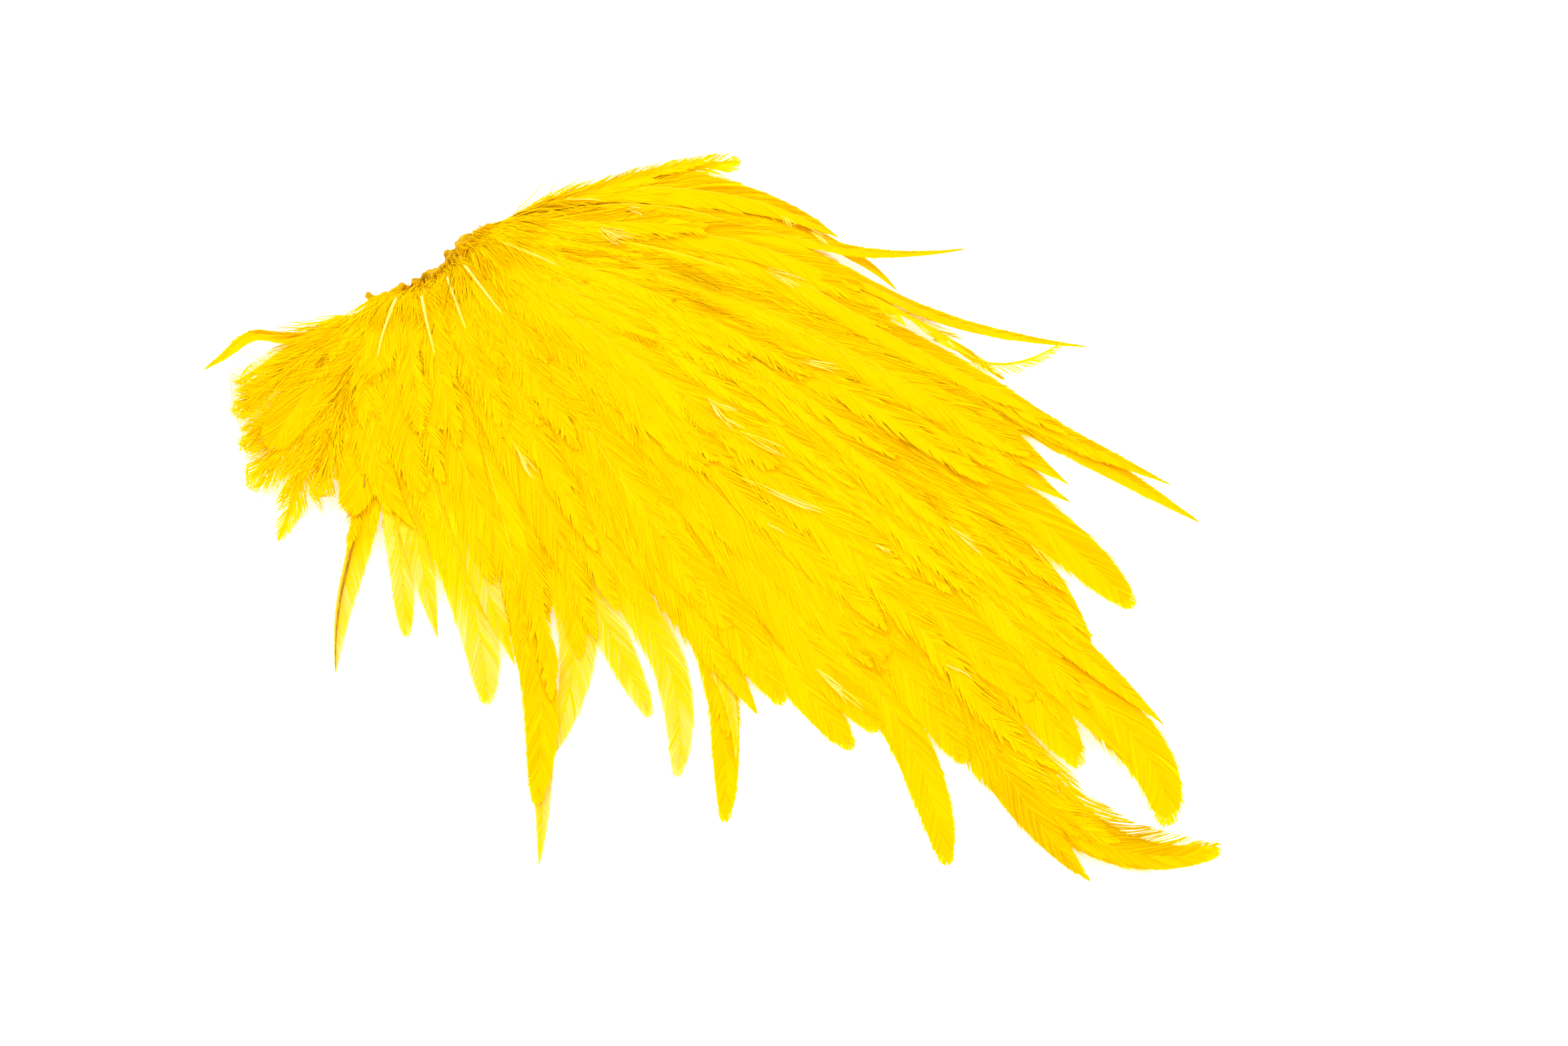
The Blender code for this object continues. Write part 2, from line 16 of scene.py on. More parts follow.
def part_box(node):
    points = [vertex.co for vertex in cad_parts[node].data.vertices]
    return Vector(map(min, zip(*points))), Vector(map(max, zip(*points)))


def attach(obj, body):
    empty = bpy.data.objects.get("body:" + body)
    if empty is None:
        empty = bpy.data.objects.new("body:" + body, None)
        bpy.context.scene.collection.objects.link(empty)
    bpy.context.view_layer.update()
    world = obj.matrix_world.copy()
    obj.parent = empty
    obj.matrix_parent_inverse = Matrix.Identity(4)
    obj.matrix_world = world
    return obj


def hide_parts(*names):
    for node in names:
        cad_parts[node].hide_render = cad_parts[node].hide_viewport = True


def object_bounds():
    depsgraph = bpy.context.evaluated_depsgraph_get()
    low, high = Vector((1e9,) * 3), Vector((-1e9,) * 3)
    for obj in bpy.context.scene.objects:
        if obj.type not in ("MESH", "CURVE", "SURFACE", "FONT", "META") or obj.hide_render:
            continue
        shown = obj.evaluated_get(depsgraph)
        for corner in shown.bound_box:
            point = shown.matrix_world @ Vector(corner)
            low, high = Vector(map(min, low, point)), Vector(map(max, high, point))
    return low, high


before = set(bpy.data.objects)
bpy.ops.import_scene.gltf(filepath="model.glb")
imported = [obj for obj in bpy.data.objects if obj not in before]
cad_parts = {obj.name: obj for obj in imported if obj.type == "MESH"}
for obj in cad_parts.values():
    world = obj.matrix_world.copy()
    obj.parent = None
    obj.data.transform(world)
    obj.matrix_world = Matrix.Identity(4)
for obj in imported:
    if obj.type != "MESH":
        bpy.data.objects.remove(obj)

cad_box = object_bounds()
MM = 0.001


# The skin is a strip cut from the bird's back and dried. The dye has turned it ochre, and its
# far edge has shrunk into a crumpled, lumpy ridge. The feathers are rooted in it.
MERGE = 1e-6
SKIN_CUTS = 3
SMOOTHINGS = 2
LUMP_SIZE = 1.7
LUMP_HEIGHT = 1.5
WRINKLE_SIZE = 0.8
WRINKLE_HEIGHT = 0.22
FLAT_SKIN = 1.7
UNDERSIDE = 0.2
THINNEST_SKIN = 0.1
SKIN_COLOURS = ((0.30, (0.42, 0.21, 0.0, 1.0)), (0.62, (0.72, 0.41, 0.004, 1.0)))
SPECK_SHADES = ((0.05, (0.45, 0.45, 0.45, 1.0)), (0.20, (1.0, 1.0, 1.0, 1.0)))


def skin_mesh():
    """The skin's solid, divided finely and pushed out into lumps and wrinkles, flat below."""
    bm = bmesh.new()
    bm.from_mesh(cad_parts["skin"].data)
    bmesh.ops.remove_doubles(bm, verts=bm.verts, dist=MERGE)
    bmesh.ops.subdivide_edges(bm, edges=bm.edges, cuts=SKIN_CUTS, use_grid_fill=True)
    for _ in range(SMOOTHINGS):
        bmesh.ops.smooth_vert(
            bm, verts=bm.verts, factor=0.5, use_axis_x=True, use_axis_y=True, use_axis_z=True
        )
    bm.normal_update()
    for vertex in bm.verts:
        place = vertex.co / MM
        if place.z < UNDERSIDE:
            vertex.co.z = 0.0
            continue
        ridge = min(1.0, place.z / FLAT_SKIN) ** 2
        lump = noise.noise(place / LUMP_SIZE) * LUMP_HEIGHT * ridge
        wrinkle = noise.ridged_multi_fractal(place / WRINKLE_SIZE, 1.0, 2.0, 3, 1.0, 2.0) - 1.0
        vertex.co += vertex.normal * (lump + wrinkle * WRINKLE_HEIGHT * ridge) * MM
        vertex.co.z = max(vertex.co.z, THINNEST_SKIN * MM)
    mesh = bpy.data.meshes.new("skin_dried")
    bm.to_mesh(mesh)
    bm.free()
    mesh.shade_smooth()
    return mesh


def blank_finish(name, roughness, specular):
    """A new material, with its nodes, its links and its shader, that still needs its colour."""
    material = bpy.data.materials.new(name)
    material.use_nodes = True
    nodes = material.node_tree.nodes
    shader = nodes["Principled BSDF"]
    shader.inputs["Roughness"].default_value = roughness
    shader.inputs["Specular IOR Level"].default_value = specular
    return material, nodes, material.node_tree.links, shader


def colour_ramp(nodes, colours):
    """A ramp through colours, each given with its place between 0 and 1."""
    ramp = nodes.new("ShaderNodeValToRGB")
    stops = ramp.color_ramp.elements
    for stop, (place, colour) in ((stops[0], colours[0]), (stops[1], colours[-1])):
        stop.position = place
        stop.color = colour
    for place, colour in colours[1:-1]:
        stops.new(place).color = colour
    return ramp


def skin_material():
    """Ochre skin with browner hollows, dark specks and a fine relief."""
    material, nodes, links, shader = blank_finish("dried_skin", roughness=0.5, specular=0.02)
    place = nodes.new("ShaderNodeTexCoord")
    blotches = nodes.new("ShaderNodeTexNoise")
    blotches.inputs["Scale"].default_value = 420.0
    blotches.inputs["Detail"].default_value = 6.0
    ochre = colour_ramp(nodes, SKIN_COLOURS)
    specks = nodes.new("ShaderNodeTexVoronoi")
    specks.inputs["Scale"].default_value = 900.0
    shades = colour_ramp(nodes, SPECK_SHADES)
    both = nodes.new("ShaderNodeMix")
    both.data_type = "RGBA"
    both.blend_type = "MULTIPLY"
    both.inputs["Factor"].default_value = 1.0
    relief = nodes.new("ShaderNodeBump")
    relief.inputs["Strength"].default_value = 0.5
    relief.inputs["Distance"].default_value = 0.0004
    links.new(place.outputs["Object"], blotches.inputs["Vector"])
    links.new(place.outputs["Object"], specks.inputs["Vector"])
    links.new(blotches.outputs["Fac"], ochre.inputs["Fac"])
    links.new(specks.outputs["Distance"], shades.inputs["Fac"])
    links.new(ochre.outputs["Color"], both.inputs["A"])
    links.new(shades.outputs["Color"], both.inputs["B"])
    links.new(both.outputs["Result"], shader.inputs["Base Color"])
    links.new(blotches.outputs["Fac"], relief.inputs["Height"])
    links.new(relief.outputs["Normal"], shader.inputs["Normal"])
    return material


skin = bpy.data.objects.new("skin_dried", skin_mesh())
bpy.context.scene.collection.objects.link(skin)
skin.data.materials.append(skin_material())
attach(skin, "root")
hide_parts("skin")


# The big feathers. Each is a tapering rachis, pale and bare near the skin, with two vanes of
# fine barbs that lean towards the tip. It follows the blade that stands for it in the frame.

# The groups of feathers in each layer of the pile, with the first and last number of each.
LAYERS = {
    "low": (("left", 1, 6), ("hanging", 1, 4), ("long", 1, 7), ("longest", 1, 2),
            ("right", 1, 3), ("far", 1, 2)),
    "middle": (("left", 7, 7), ("hanging", 5, 7), ("long", 8, 13), ("longest", 3, 8),
               ("right", 4, 8), ("far", 3, 5)),
    "top": (("top", 1, 11),),
}

# A blade is the flat course of a feather. It has a row every half millimetre: the middle, the
# ways to the left edge, to the right edge, up and ahead, and the half widths.
Blade = namedtuple("Blade", "length middle to_left to_right up run half")
ROW_SPACING = 0.5
FEWEST_ROWS = 8
TINY = 1e-9


def layer_names(layer):
    """The names of the feathers in a layer, side by side."""
    return [f"{group}_feather_{n}" for group, a, b in LAYERS[layer] for n in range(a, b + 1)]


def smooth(along, values, places):
    """Values at the places along a smooth curve through the given ones."""
    run = np.diff(along)[:, None]
    rise = np.diff(values, axis=0) / run
    tangent = np.empty_like(values)
    share = run[:-1] / (run[:-1] + run[1:])
    tangent[1:-1] = rise[:-1] * (1.0 - share) + rise[1:] * share
    tangent[0] = rise[0]
    tangent[-1] = rise[-1]
    i = np.clip(np.searchsorted(along, places, side="right") - 1, 0, len(run) - 1)
    t = (places - along[i])[:, None] / run[i]
    straight = values[i] * (2 * t**3 - 3 * t**2 + 1) + values[i + 1] * (3 * t**2 - 2 * t**3)
    bent = tangent[i] * (t**3 - 2 * t**2 + t) + tangent[i + 1] * (t**3 - t**2)
    return straight + run[i] * bent


def unit(vectors):
    """The vectors at a length of one."""
    return vectors / np.maximum(np.linalg.norm(vectors, axis=-1, keepdims=True), TINY)


def level_left(run):
    """The level directions to the left of the given ones."""
    return unit(np.column_stack([-run[:, 1], run[:, 0], 0.0 * run[:, 0]]))


def lengths_along(line):
    """How far along a line each of its points lies."""
    return np.concatenate([[0.0], np.cumsum(np.linalg.norm(np.diff(line, axis=0), axis=1))])


def make_blade(middle, to_left, to_right, half):
    """A blade whose rows lie evenly along its middle line. Its half widths are for the left side
    and for the right."""
    along = lengths_along(middle)
    places = np.linspace(0.0, along[-1], max(FEWEST_ROWS, round(along[-1] / ROW_SPACING)))
    rows = smooth(along, np.column_stack([middle, to_left, to_right, half]), places)
    run = unit(np.gradient(rows[:, 0:3], axis=0))
    left = unit(rows[:, 3:6])
    right = unit(rows[:, 6:9])
    up = unit(np.cross(run, left - right))
    return Blade(along[-1], rows[:, 0:3], left, right, up, run, np.maximum(rows[:, 9:11], 0.0))


def rows_of(blade):
    """How far along the feather each row of its blade lies."""
    return np.linspace(0.0, blade.length, len(blade.half))


def at(places, rows, table):
    """The columns of a table at places between its rows."""
    return np.stack([np.interp(places, rows, column) for column in table.T], axis=-1)


def hops(start):
    """The corners of a mesh in steps of one edge away from the first."""
    steps = [[start]]
    met = {start}
    while steps[-1]:
        beyond = {e.other_vert(v) for v in steps[-1] for e in v.link_edges} - met
        steps.append(sorted(beyond, key=lambda v: v.index))
        met |= beyond
    return steps[:-1]


def read_rings(bm):
    """The rings of six corners of a feather's solid, and the points at its ends, from root to tip."""
    low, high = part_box("skin")
    away = [(v.co - (low + high) / 2.0).length for v in bm.verts]
    for i in np.argsort(away)[::-1]:
        steps = hops(bm.verts[int(i)])
        if len(steps[-1]) == 1 and {len(step) for step in steps[1:-1]} == {6}:
            return [np.array([v.co[:] for v in step]) / MM for step in reversed(steps)]
    raise ValueError("a feather's solid isn't made of rings of six corners")


def read_blade(name):
    """A feather's blade, as its solid in the frame has it. The six corners of a ring are two at
    the right edge, two at the rachis and two at the left edge."""
    bm = bmesh.new()
    bm.from_mesh(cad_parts[name].data)
    bmesh.ops.remove_doubles(bm, verts=bm.verts, dist=MERGE)
    bm.verts.ensure_lookup_table()
    corners = read_rings(bm)
    bm.free()
    centre = np.array([ring.mean(axis=0) for ring in corners])
    side = level_left(np.gradient(centre, axis=0))
    middle = centre.copy()
    left = centre.copy()
    right = centre.copy()
    for i in range(1, len(corners) - 1):
        order = np.argsort((corners[i] - centre[i]) @ side[i])
        right[i], middle[i], left[i] = (corners[i][order[k : k + 2]].mean(axis=0) for k in (0, 2, 4))
    half = np.linalg.norm(left - right, axis=1) / 2.0
    to_left = left - middle
    to_right = right - middle
    for end, next_one in ((0, 1), (-1, -2)):
        to_left[end] = to_left[next_one]
        to_right[end] = to_right[next_one]
    return make_blade(middle, unit(to_left), unit(to_right), np.column_stack([half, half]))


def ribbons(paths, up, widths, roll):
    """Narrow strips along the paths, each turned a little about its own length and ending in a
    point. The paths are an array of strip, section and place."""
    ahead = unit(np.gradient(paths, axis=1))
    across = unit(np.cross(ahead, up))
    lean = across * np.cos(roll)[:, None, None] + up * np.sin(roll)[:, None, None]
    edge = lean * (widths / 2.0)[..., None]
    sections = paths.shape[1]
    pairs = np.stack([paths - edge, paths + edge], axis=2)[:, :-1].reshape(len(paths), -1, 3)
    corners = np.concatenate([pairs, paths[:, -1:]], axis=1)
    strip = []
    for k in range(sections - 2):
        a = 2 * k
        strip += [(a, a + 1, a + 3), (a, a + 3, a + 2)]
    last = 2 * (sections - 1)
    strip.append((last - 2, last - 1, last))
    first = np.arange(len(paths))[:, None, None] * (last + 1)
    return corners.reshape(-1, 3), (np.array(strip)[None] + first).reshape(-1, 3)


def on_corners(values):
    """A value for each strip and section, given to the corners that ribbons makes of them."""
    pairs = np.repeat(values[:, :-1], 2, axis=1)
    return np.concatenate([pairs, values[:, -1:]], axis=1).reshape(-1)


# How a feather's barbs are laid: the bare quill before the first, their spacing, how far along
# the feather each runs for every millimetre of half width, how wide and uneven they are, how
# many of them stray, how far they may pass the outline, how far they wave, how much the tips of
# a clump gather to a point, how much paler they go towards the feather's tip, and where along a
# barb its sections are. Sheer vanes let the light through, firm ones are dense with a clean
# edge, and webby ones are ragged. The paling towards the tip is partly the thin barbs' own
# lighter yellow and partly painted light, for the white surface shining through a sheer vane.
Lay = namedtuple("Lay", "bare spacing lean width uneven stray overshoot wave gather pale sections")
FIVE_SECTIONS = (0.0, 0.26, 0.55, 0.8, 1.0)
SHEER = Lay(bare=1.5, spacing=0.42, lean=3.1, width=0.21, uneven=0.035, stray=0.03, overshoot=0.4,
            wave=0.0, gather=0.0, pale=2.7, sections=FIVE_SECTIONS)
FIRM = SHEER._replace(width=0.30, uneven=0.05, gather=0.05, pale=-0.5)
WEBBY = Lay(bare=1.5, spacing=0.36, lean=3.0, width=0.27, uneven=0.22, stray=0.12, overshoot=3.0,
            wave=0.25, gather=0.6, pale=1.0, sections=FIVE_SECTIONS)

# Neighbouring barbs cling together in clumps, which differ in length, lean, height and tone. A
# few barbs stray: they reach further, lean more and stand up.
CLUMP_LENGTH = 3.2
ROOT_JITTER = 0.3
LEAN_VARIES = 1.2
BARB_LEANS = 0.02
CLUMP_LIFTS = 0.10
BARB_LIFTS = 0.04
CLUMP_TONES = 0.35
BARB_TONES = 0.25
STRAY_REACH = (1.05, 1.45)
STRAY_LEAN = (1.0, 1.4)
STRAY_LIFT = (0.0, 0.5)

# A barb bows out from the rachis, waves, tapers, and is a little paler at its tip. The vanes open
# soon after the bare quill, and a barb ends at the outline, also where it leans past the widest
# place. TRACED is how many points of it are tried there.
BOW = 1.45
WAVE_LENGTH = 9.0
BARB_WIDTHS = (0.75, 1.15)
BARB_TAPER = 0.72
BARB_ROLL = 0.28
ROLL_VARIES = 0.15
TIP_PALER = 0.35
OPEN_SHARE = 0.55
OPENS_OVER = 16.0
CLOSES_OVER = 8.0
LAST_ROOT = 0.6
LEAST_TRAVEL = 0.35
MOST_REACH = 1.12
TRACED = 25
PALE_FROM = 0.4
PALE_AT = 0.8


def paling_and_painted_light(share):
    """How much of its paling, partly painted light, a vane has at a share of its feather's length."""
    return np.clip((share - PALE_FROM) / (PALE_AT - PALE_FROM), 0.0, 1.0)


def barbs(blade, lay, rng):
    """The barbs on both sides of a blade, each ending where it meets the feather's outline."""
    parts = []
    rows = rows_of(blade)
    opening = np.clip((rows - lay.bare) / OPENS_OVER, 0.0, 1.0)
    closing = np.clip((0.5 * blade.length - rows) / CLOSES_OVER, 0.0, 1.0)
    count = int((blade.length - lay.bare - LAST_ROOT) / lay.spacing)
    for k, sideways in enumerate((blade.to_left, blade.to_right)):
        widest = blade.half[:, k].max()
        half = np.maximum(blade.half[:, k], OPEN_SHARE * widest * opening * closing)
        window = max(1, round(lay.lean * widest / ROW_SPACING))
        padded = np.concatenate([half, np.zeros(window)])
        full = np.lib.stride_tricks.sliding_window_view(padded, window + 1).max(axis=1)
        jitter = rng.uniform(-ROOT_JITTER, ROOT_JITTER, count)
        root = lay.bare + (np.arange(count) + jitter) * lay.spacing
        clump = np.cumsum(rng.random(count) < lay.spacing / CLUMP_LENGTH)
        clumps = clump[-1] + 1

        def varied(typical, by_clump, by_barb):
            return typical + rng.normal(0.0, by_clump, clumps)[clump] + rng.normal(0.0, by_barb, count)

        reach = varied(1.0, lay.uneven, 0.5 * lay.uneven)
        lean = varied(1.0, LEAN_VARIES * lay.uneven, BARB_LEANS)
        strays = rng.random(count) < lay.stray
        reach[strays] *= rng.uniform(*STRAY_REACH, strays.sum())
        lean[strays] *= rng.uniform(*STRAY_LEAN, strays.sum())
        over = lay.overshoot * rng.random(clumps)[clump] * rng.random(count)
        widest_here = np.interp(root, rows, full)
        travel = lay.lean * np.maximum(widest_here, LEAST_TRAVEL * widest) * lean
        gathered = lay.gather * (root - (np.bincount(clump, root) / np.bincount(clump))[clump])

        def traced(t):
            """How far along the feather and out from its rachis each barb is at shares of it."""
            s = root[:, None] + travel[:, None] * t - gathered[:, None] * t**2
            return s, (widest_here * reach)[:, None] * (1.0 - (1.0 - t) ** BOW)

        t = np.linspace(0.0, 1.0, TRACED)
        s, v = traced(t)
        room = np.interp(s - over[:, None], rows, half, right=0.0)
        met = v[:, 1:] >= (room * np.minimum(reach, MOST_REACH)[:, None])[:, 1:]
        stop = np.where(met.any(axis=1), t[1 + met.argmax(axis=1)], 1.0)
        t = stop[:, None] * np.array(lay.sections)
        s, v = traced(t)
        phase = rng.uniform(0.0, 2.0 * math.pi, clumps)[clump][:, None]
        v += lay.wave * t * np.sin((s - root[:, None]) * 2.0 * math.pi / WAVE_LENGTH + phase)
        place = np.clip(s / blade.length, 0.0, 1.0) * (len(rows) - 1)
        near = np.minimum(place.astype(int), len(rows) - 2)
        share = (place - near)[..., None]

        def here(column):
            return column[near] * (1.0 - share) + column[near + 1] * share

        lift = varied(0.0, CLUMP_LIFTS, BARB_LIFTS)
        lift[strays] += rng.uniform(*STRAY_LIFT, strays.sum())
        up = unit(here(blade.up))
        paths = here(blade.middle) + here(sideways) * v[..., None]
        paths += up * (lift[:, None] * t)[..., None]
        paths += here(blade.run) * np.maximum(s - blade.length, 0.0)[..., None]
        widths = lay.width * rng.uniform(*BARB_WIDTHS, count)[:, None] * (1.0 - BARB_TAPER * t**1.5)
        roll = (BARB_ROLL, -BARB_ROLL)[k] + rng.normal(0.0, ROLL_VARIES, count)
        corners, faces = ribbons(paths, up, widths, roll)
        tone = varied(0.0, CLUMP_TONES, BARB_TONES)[:, None] + TIP_PALER * (t - 0.5)
        tone = on_corners(tone + lay.pale * paling_and_painted_light(s / blade.length))
        parts.append((corners, faces, tone, on_corners(s)))
    return parts


# The web is the close inner part of the vanes, where the barbs hold together in one thin sheet.
# It lies just under the loose barbs, and starts where the quill no longer shows.
QUILL_SHOWS = 6.0
WEB_ENDS = 0.99
WEB_SINKS = 0.08
WEB_POINT = 0.02
WEB_TONE = -0.2
FEWEST_STEPS = 6


def web(blade, share, tip_share, pale=0.0, spacing=2.0):
    """The web of a feather, which takes a share of the half width at its start and another at
    the tip. On a sheer or firm vane it reaches nearly to the edge."""
    count = max(FEWEST_STEPS, round(blade.length / spacing))
    places = np.linspace(QUILL_SHOWS, blade.length * WEB_ENDS, count)
    table = np.column_stack([blade.middle, blade.to_left, blade.to_right, blade.up, blade.half])
    table = at(places, rows_of(blade), table)
    middle = table[:, 0:3] - table[:, 9:12] * WEB_SINKS
    half = table[:, 12:14] * np.linspace(share, tip_share, count)[:, None]
    half[0] = half[-1] = WEB_POINT
    left = table[:, 3:6] * half[:, 0:1]
    right = table[:, 6:9] * half[:, 1:2]
    corners = np.stack([middle + right, middle, middle + left], axis=1).reshape(-1, 3)
    faces = []
    for i in range(count - 1):
        for k in range(2):
            a = 3 * i + k
            faces += [(a, a + 1, a + 4), (a, a + 4, a + 3)]
    tone = WEB_TONE + pale * paling_and_painted_light(places / blade.length)
    return corners, np.array(faces), np.repeat(tone, 3), np.repeat(places, 3)


# The loose down at a feather's base: how many barbs, the first and last place where they start,
# how long and wide they are, how far they spread, how far they wave, and how many are dark.
Down = namedtuple("Down", "count first last length width spread wave dark")
DARK_TONE = 4.0
DOWN_SECTIONS = 5
DOWN_LENGTHS = (0.6, 1.3)
DOWN_PAST_TIP = (-3.0, 1.5)
DOWN_ASIDE = 0.6
DOWN_RISES = (0.15, 0.9)
DOWN_WIDTHS = (0.7, 1.2)
DOWN_TAPER = 0.7
DOWN_ROLL = 0.3
DOWN_VARIES = 0.5


def down(blade, kind, rng):
    """Loose, wavy barbs without a vane, which run along a feather and a little above it."""
    count = kind.count
    t = np.linspace(0.0, 1.0, DOWN_SECTIONS)
    length = kind.length * rng.uniform(*DOWN_LENGTHS, count)
    start = rng.uniform(kind.first, kind.last, count)
    start = np.minimum(start, blade.length + rng.uniform(*DOWN_PAST_TIP, count) - length)
    s = start[:, None] + length[:, None] * t
    rows = rows_of(blade)
    away = rng.normal(0.0, DOWN_VARIES, count)[:, None] * kind.spread * t**1.3
    phase = rng.uniform(0.0, 2.0 * math.pi, count)[:, None]
    away += kind.wave * t * np.sin(s * 2.0 * math.pi / WAVE_LENGTH + phase)
    away += rng.uniform(-DOWN_ASIDE, DOWN_ASIDE, count)[:, None]
    up = unit(at(s, rows, blade.up))
    rise = rng.uniform(*DOWN_RISES, count)[:, None] * np.sin(math.pi * np.minimum(t, 0.8))
    outside = np.minimum(s, 0.0) + np.maximum(s - blade.length, 0.0)
    paths = at(s, rows, blade.middle) + at(s, rows, blade.run) * outside[..., None]
    paths += unit(at(s, rows, blade.to_left)) * away[..., None] + up * rise[..., None]
    widths = kind.width * rng.uniform(*DOWN_WIDTHS, count)[:, None] * (1.0 - DOWN_TAPER * t)
    corners, faces = ribbons(paths, up, widths, rng.normal(0.0, DOWN_ROLL, count))
    tone = rng.normal(0.0, DOWN_VARIES, count)
    tone[rng.random(count) < kind.dark] -= DARK_TONE
    return corners, faces, on_corners(tone[:, None] + 0.0 * t), on_corners(s)


RACHIS_ENDS = 0.985
THINNEST_QUILL = 0.05
RISES_OVER = 1.2
QUILL_POINT = 0.5
IN_SKIN = -1.0


def rachis(
    blade, thick, root_end, dyed, raised=0.0, sinks_after=11.0, taper=1.5, sides=6, spacing=3.0
):
    """The rachis: a tapering tube with closed ends, from its root in the skin to the tip. The
    further along it is said to be dyed, the sooner it takes the colour of the barbs. A raised one
    lies on the barbs until it sinks between them."""
    count = max(FEWEST_STEPS, round(blade.length / spacing))
    places = np.linspace(0.0, blade.length * RACHIS_ENDS, count)
    rows = rows_of(blade)
    middle = at(places, rows, blade.middle)
    up = at(places, rows, blade.up)
    share = places / blade.length
    radius = thick / 2.0 * (1.0 - share) ** taper + THINNEST_QUILL
    rising = np.clip(places / RISES_OVER, 0.0, 1.0)
    middle += up * (raised * rising * np.clip(2.0 - places / sinks_after, 0.0, 1.0))[:, None]
    if root_end is not None:
        middle = np.vstack([root_end, middle])
        up = np.vstack([up[:1], up])
        radius = np.concatenate([radius[:1], radius])
        places = np.concatenate([[IN_SKIN], places])
    run = unit(np.gradient(middle, axis=0))
    across = unit(np.cross(run, up))
    turn = np.arange(sides) * 2.0 * math.pi / sides
    ring = across[:, None] * np.cos(turn)[:, None] + unit(up)[:, None] * np.sin(turn)[:, None]
    corners = (middle[:, None] + ring * radius[:, None, None]).reshape(-1, 3)
    corners = np.vstack([corners, middle[:1], middle[-1:] + run[-1:] * QUILL_POINT])
    faces = []
    for i in range(len(middle) - 1):
        for k in range(sides):
            a = i * sides + k
            b = i * sides + (k + 1) % sides
            faces += [(a, a + sides, b), (b, a + sides, b + sides)]
    end = len(middle) * sides
    for k in range(sides):
        after = (k + 1) % sides
        faces.append((end, k, after))
        faces.append((end + 1, end - sides + after, end - sides + k))
    along = np.concatenate([np.repeat(places, sides), places[:1], places[-1:]])
    return corners, np.array(faces), 0.0 * along, along + dyed


# The barbs' tones run from the darkest, at minus TONES, to the palest, at TONES. A slow drift
# over the hackle shifts them by up to half a tone.
TONES = 4.0
DRIFT = 0.5
BARB_COLOURS = (
    (0.0, (0.36, 0.20, 0.0, 1.0)),
    (0.25, (0.95, 0.56, 0.0, 1.0)),
    (0.34, (0.98, 0.625, 0.0, 1.0)),
    (0.66, (1.0, 0.69, 0.0005, 1.0)),
    (0.80, (1.0, 0.71, 0.003, 1.0)),
    (1.0, (1.0, 0.755, 0.21, 1.0)),
)


def vane_material():
    """Dyed barbs: a clear yellow that lets light through and goes deeper where barbs are darker."""
    material, nodes, links, shader = blank_finish("dyed_barbs", roughness=0.7, specular=0.0)
    tone = nodes.new("ShaderNodeAttribute")
    tone.attribute_name = "tone"
    place = nodes.new("ShaderNodeTexCoord")
    drift = nodes.new("ShaderNodeTexNoise")
    drift.inputs["Scale"].default_value = 55.0
    drift.inputs["Detail"].default_value = 2.0
    spread = nodes.new("ShaderNodeMapRange")
    spread.inputs["From Min"].default_value = 0.3
    spread.inputs["From Max"].default_value = 0.7
    spread.inputs["To Min"].default_value = -DRIFT
    spread.inputs["To Max"].default_value = DRIFT
    total = nodes.new("ShaderNodeMath")
    total.operation = "ADD"
    scaled = nodes.new("ShaderNodeMapRange")
    scaled.inputs["From Min"].default_value = -TONES
    scaled.inputs["From Max"].default_value = TONES
    scaled.inputs["To Min"].default_value = 0.0
    scaled.inputs["To Max"].default_value = 1.0
    yellow = colour_ramp(nodes, BARB_COLOURS)
    through = nodes.new("ShaderNodeBsdfTranslucent")
    mixed = nodes.new("ShaderNodeMixShader")
    mixed.inputs["Fac"].default_value = 0.22
    links.new(place.outputs["Object"], drift.inputs["Vector"])
    links.new(drift.outputs["Fac"], spread.inputs["Value"])
    links.new(tone.outputs["Fac"], total.inputs[0])
    links.new(spread.outputs["Result"], total.inputs[1])
    links.new(total.outputs["Value"], scaled.inputs["Value"])
    links.new(scaled.outputs["Result"], yellow.inputs["Fac"])
    links.new(yellow.outputs["Color"], shader.inputs["Base Color"])
    links.new(yellow.outputs["Color"], through.inputs["Color"])
    links.new(shader.outputs["BSDF"], mixed.inputs[1])
    links.new(through.outputs["BSDF"], mixed.inputs[2])
    links.new(mixed.outputs["Shader"], nodes["Material Output"].inputs["Surface"])
    return material


HORN_COLOURS = ((0.0, (1.0, 0.74, 0.14, 1.0)), (1.0, (0.98, 0.60, 0.0, 1.0)))
PALE_UP_TO = 6.0
DYED_FROM = 22.0
BROWN_COLOURS = ((0.35, (0.36, 0.15, 0.001, 1.0)), (0.65, (0.58, 0.28, 0.001, 1.0)))


def quill_material():
    """The rachis: horn that took less of the dye, pale near the skin and yellower to the tip."""
    material, nodes, links, shader = blank_finish("pale_quill", roughness=0.5, specular=0.1)
    along = nodes.new("ShaderNodeAttribute")
    along.attribute_name = "along"
    scaled = nodes.new("ShaderNodeMapRange")
    scaled.inputs["From Min"].default_value = PALE_UP_TO
    scaled.inputs["From Max"].default_value = DYED_FROM
    horn = colour_ramp(nodes, HORN_COLOURS)
    links.new(along.outputs["Fac"], scaled.inputs["Value"])
    links.new(scaled.outputs["Result"], horn.inputs["Fac"])
    links.new(horn.outputs["Color"], shader.inputs["Base Color"])
    return material


def brown_material():
    """Horn that took the dye too deeply and dried orange-brown."""
    material, nodes, links, shader = blank_finish("brown_quill", roughness=0.5, specular=0.1)
    place = nodes.new("ShaderNodeTexCoord")
    streaks = nodes.new("ShaderNodeTexNoise")
    streaks.inputs["Scale"].default_value = 600.0
    brown = colour_ramp(nodes, BROWN_COLOURS)
    links.new(place.outputs["Object"], streaks.inputs["Vector"])
    links.new(streaks.outputs["Fac"], brown.inputs["Fac"])
    links.new(brown.outputs["Color"], shader.inputs["Base Color"])
    return material


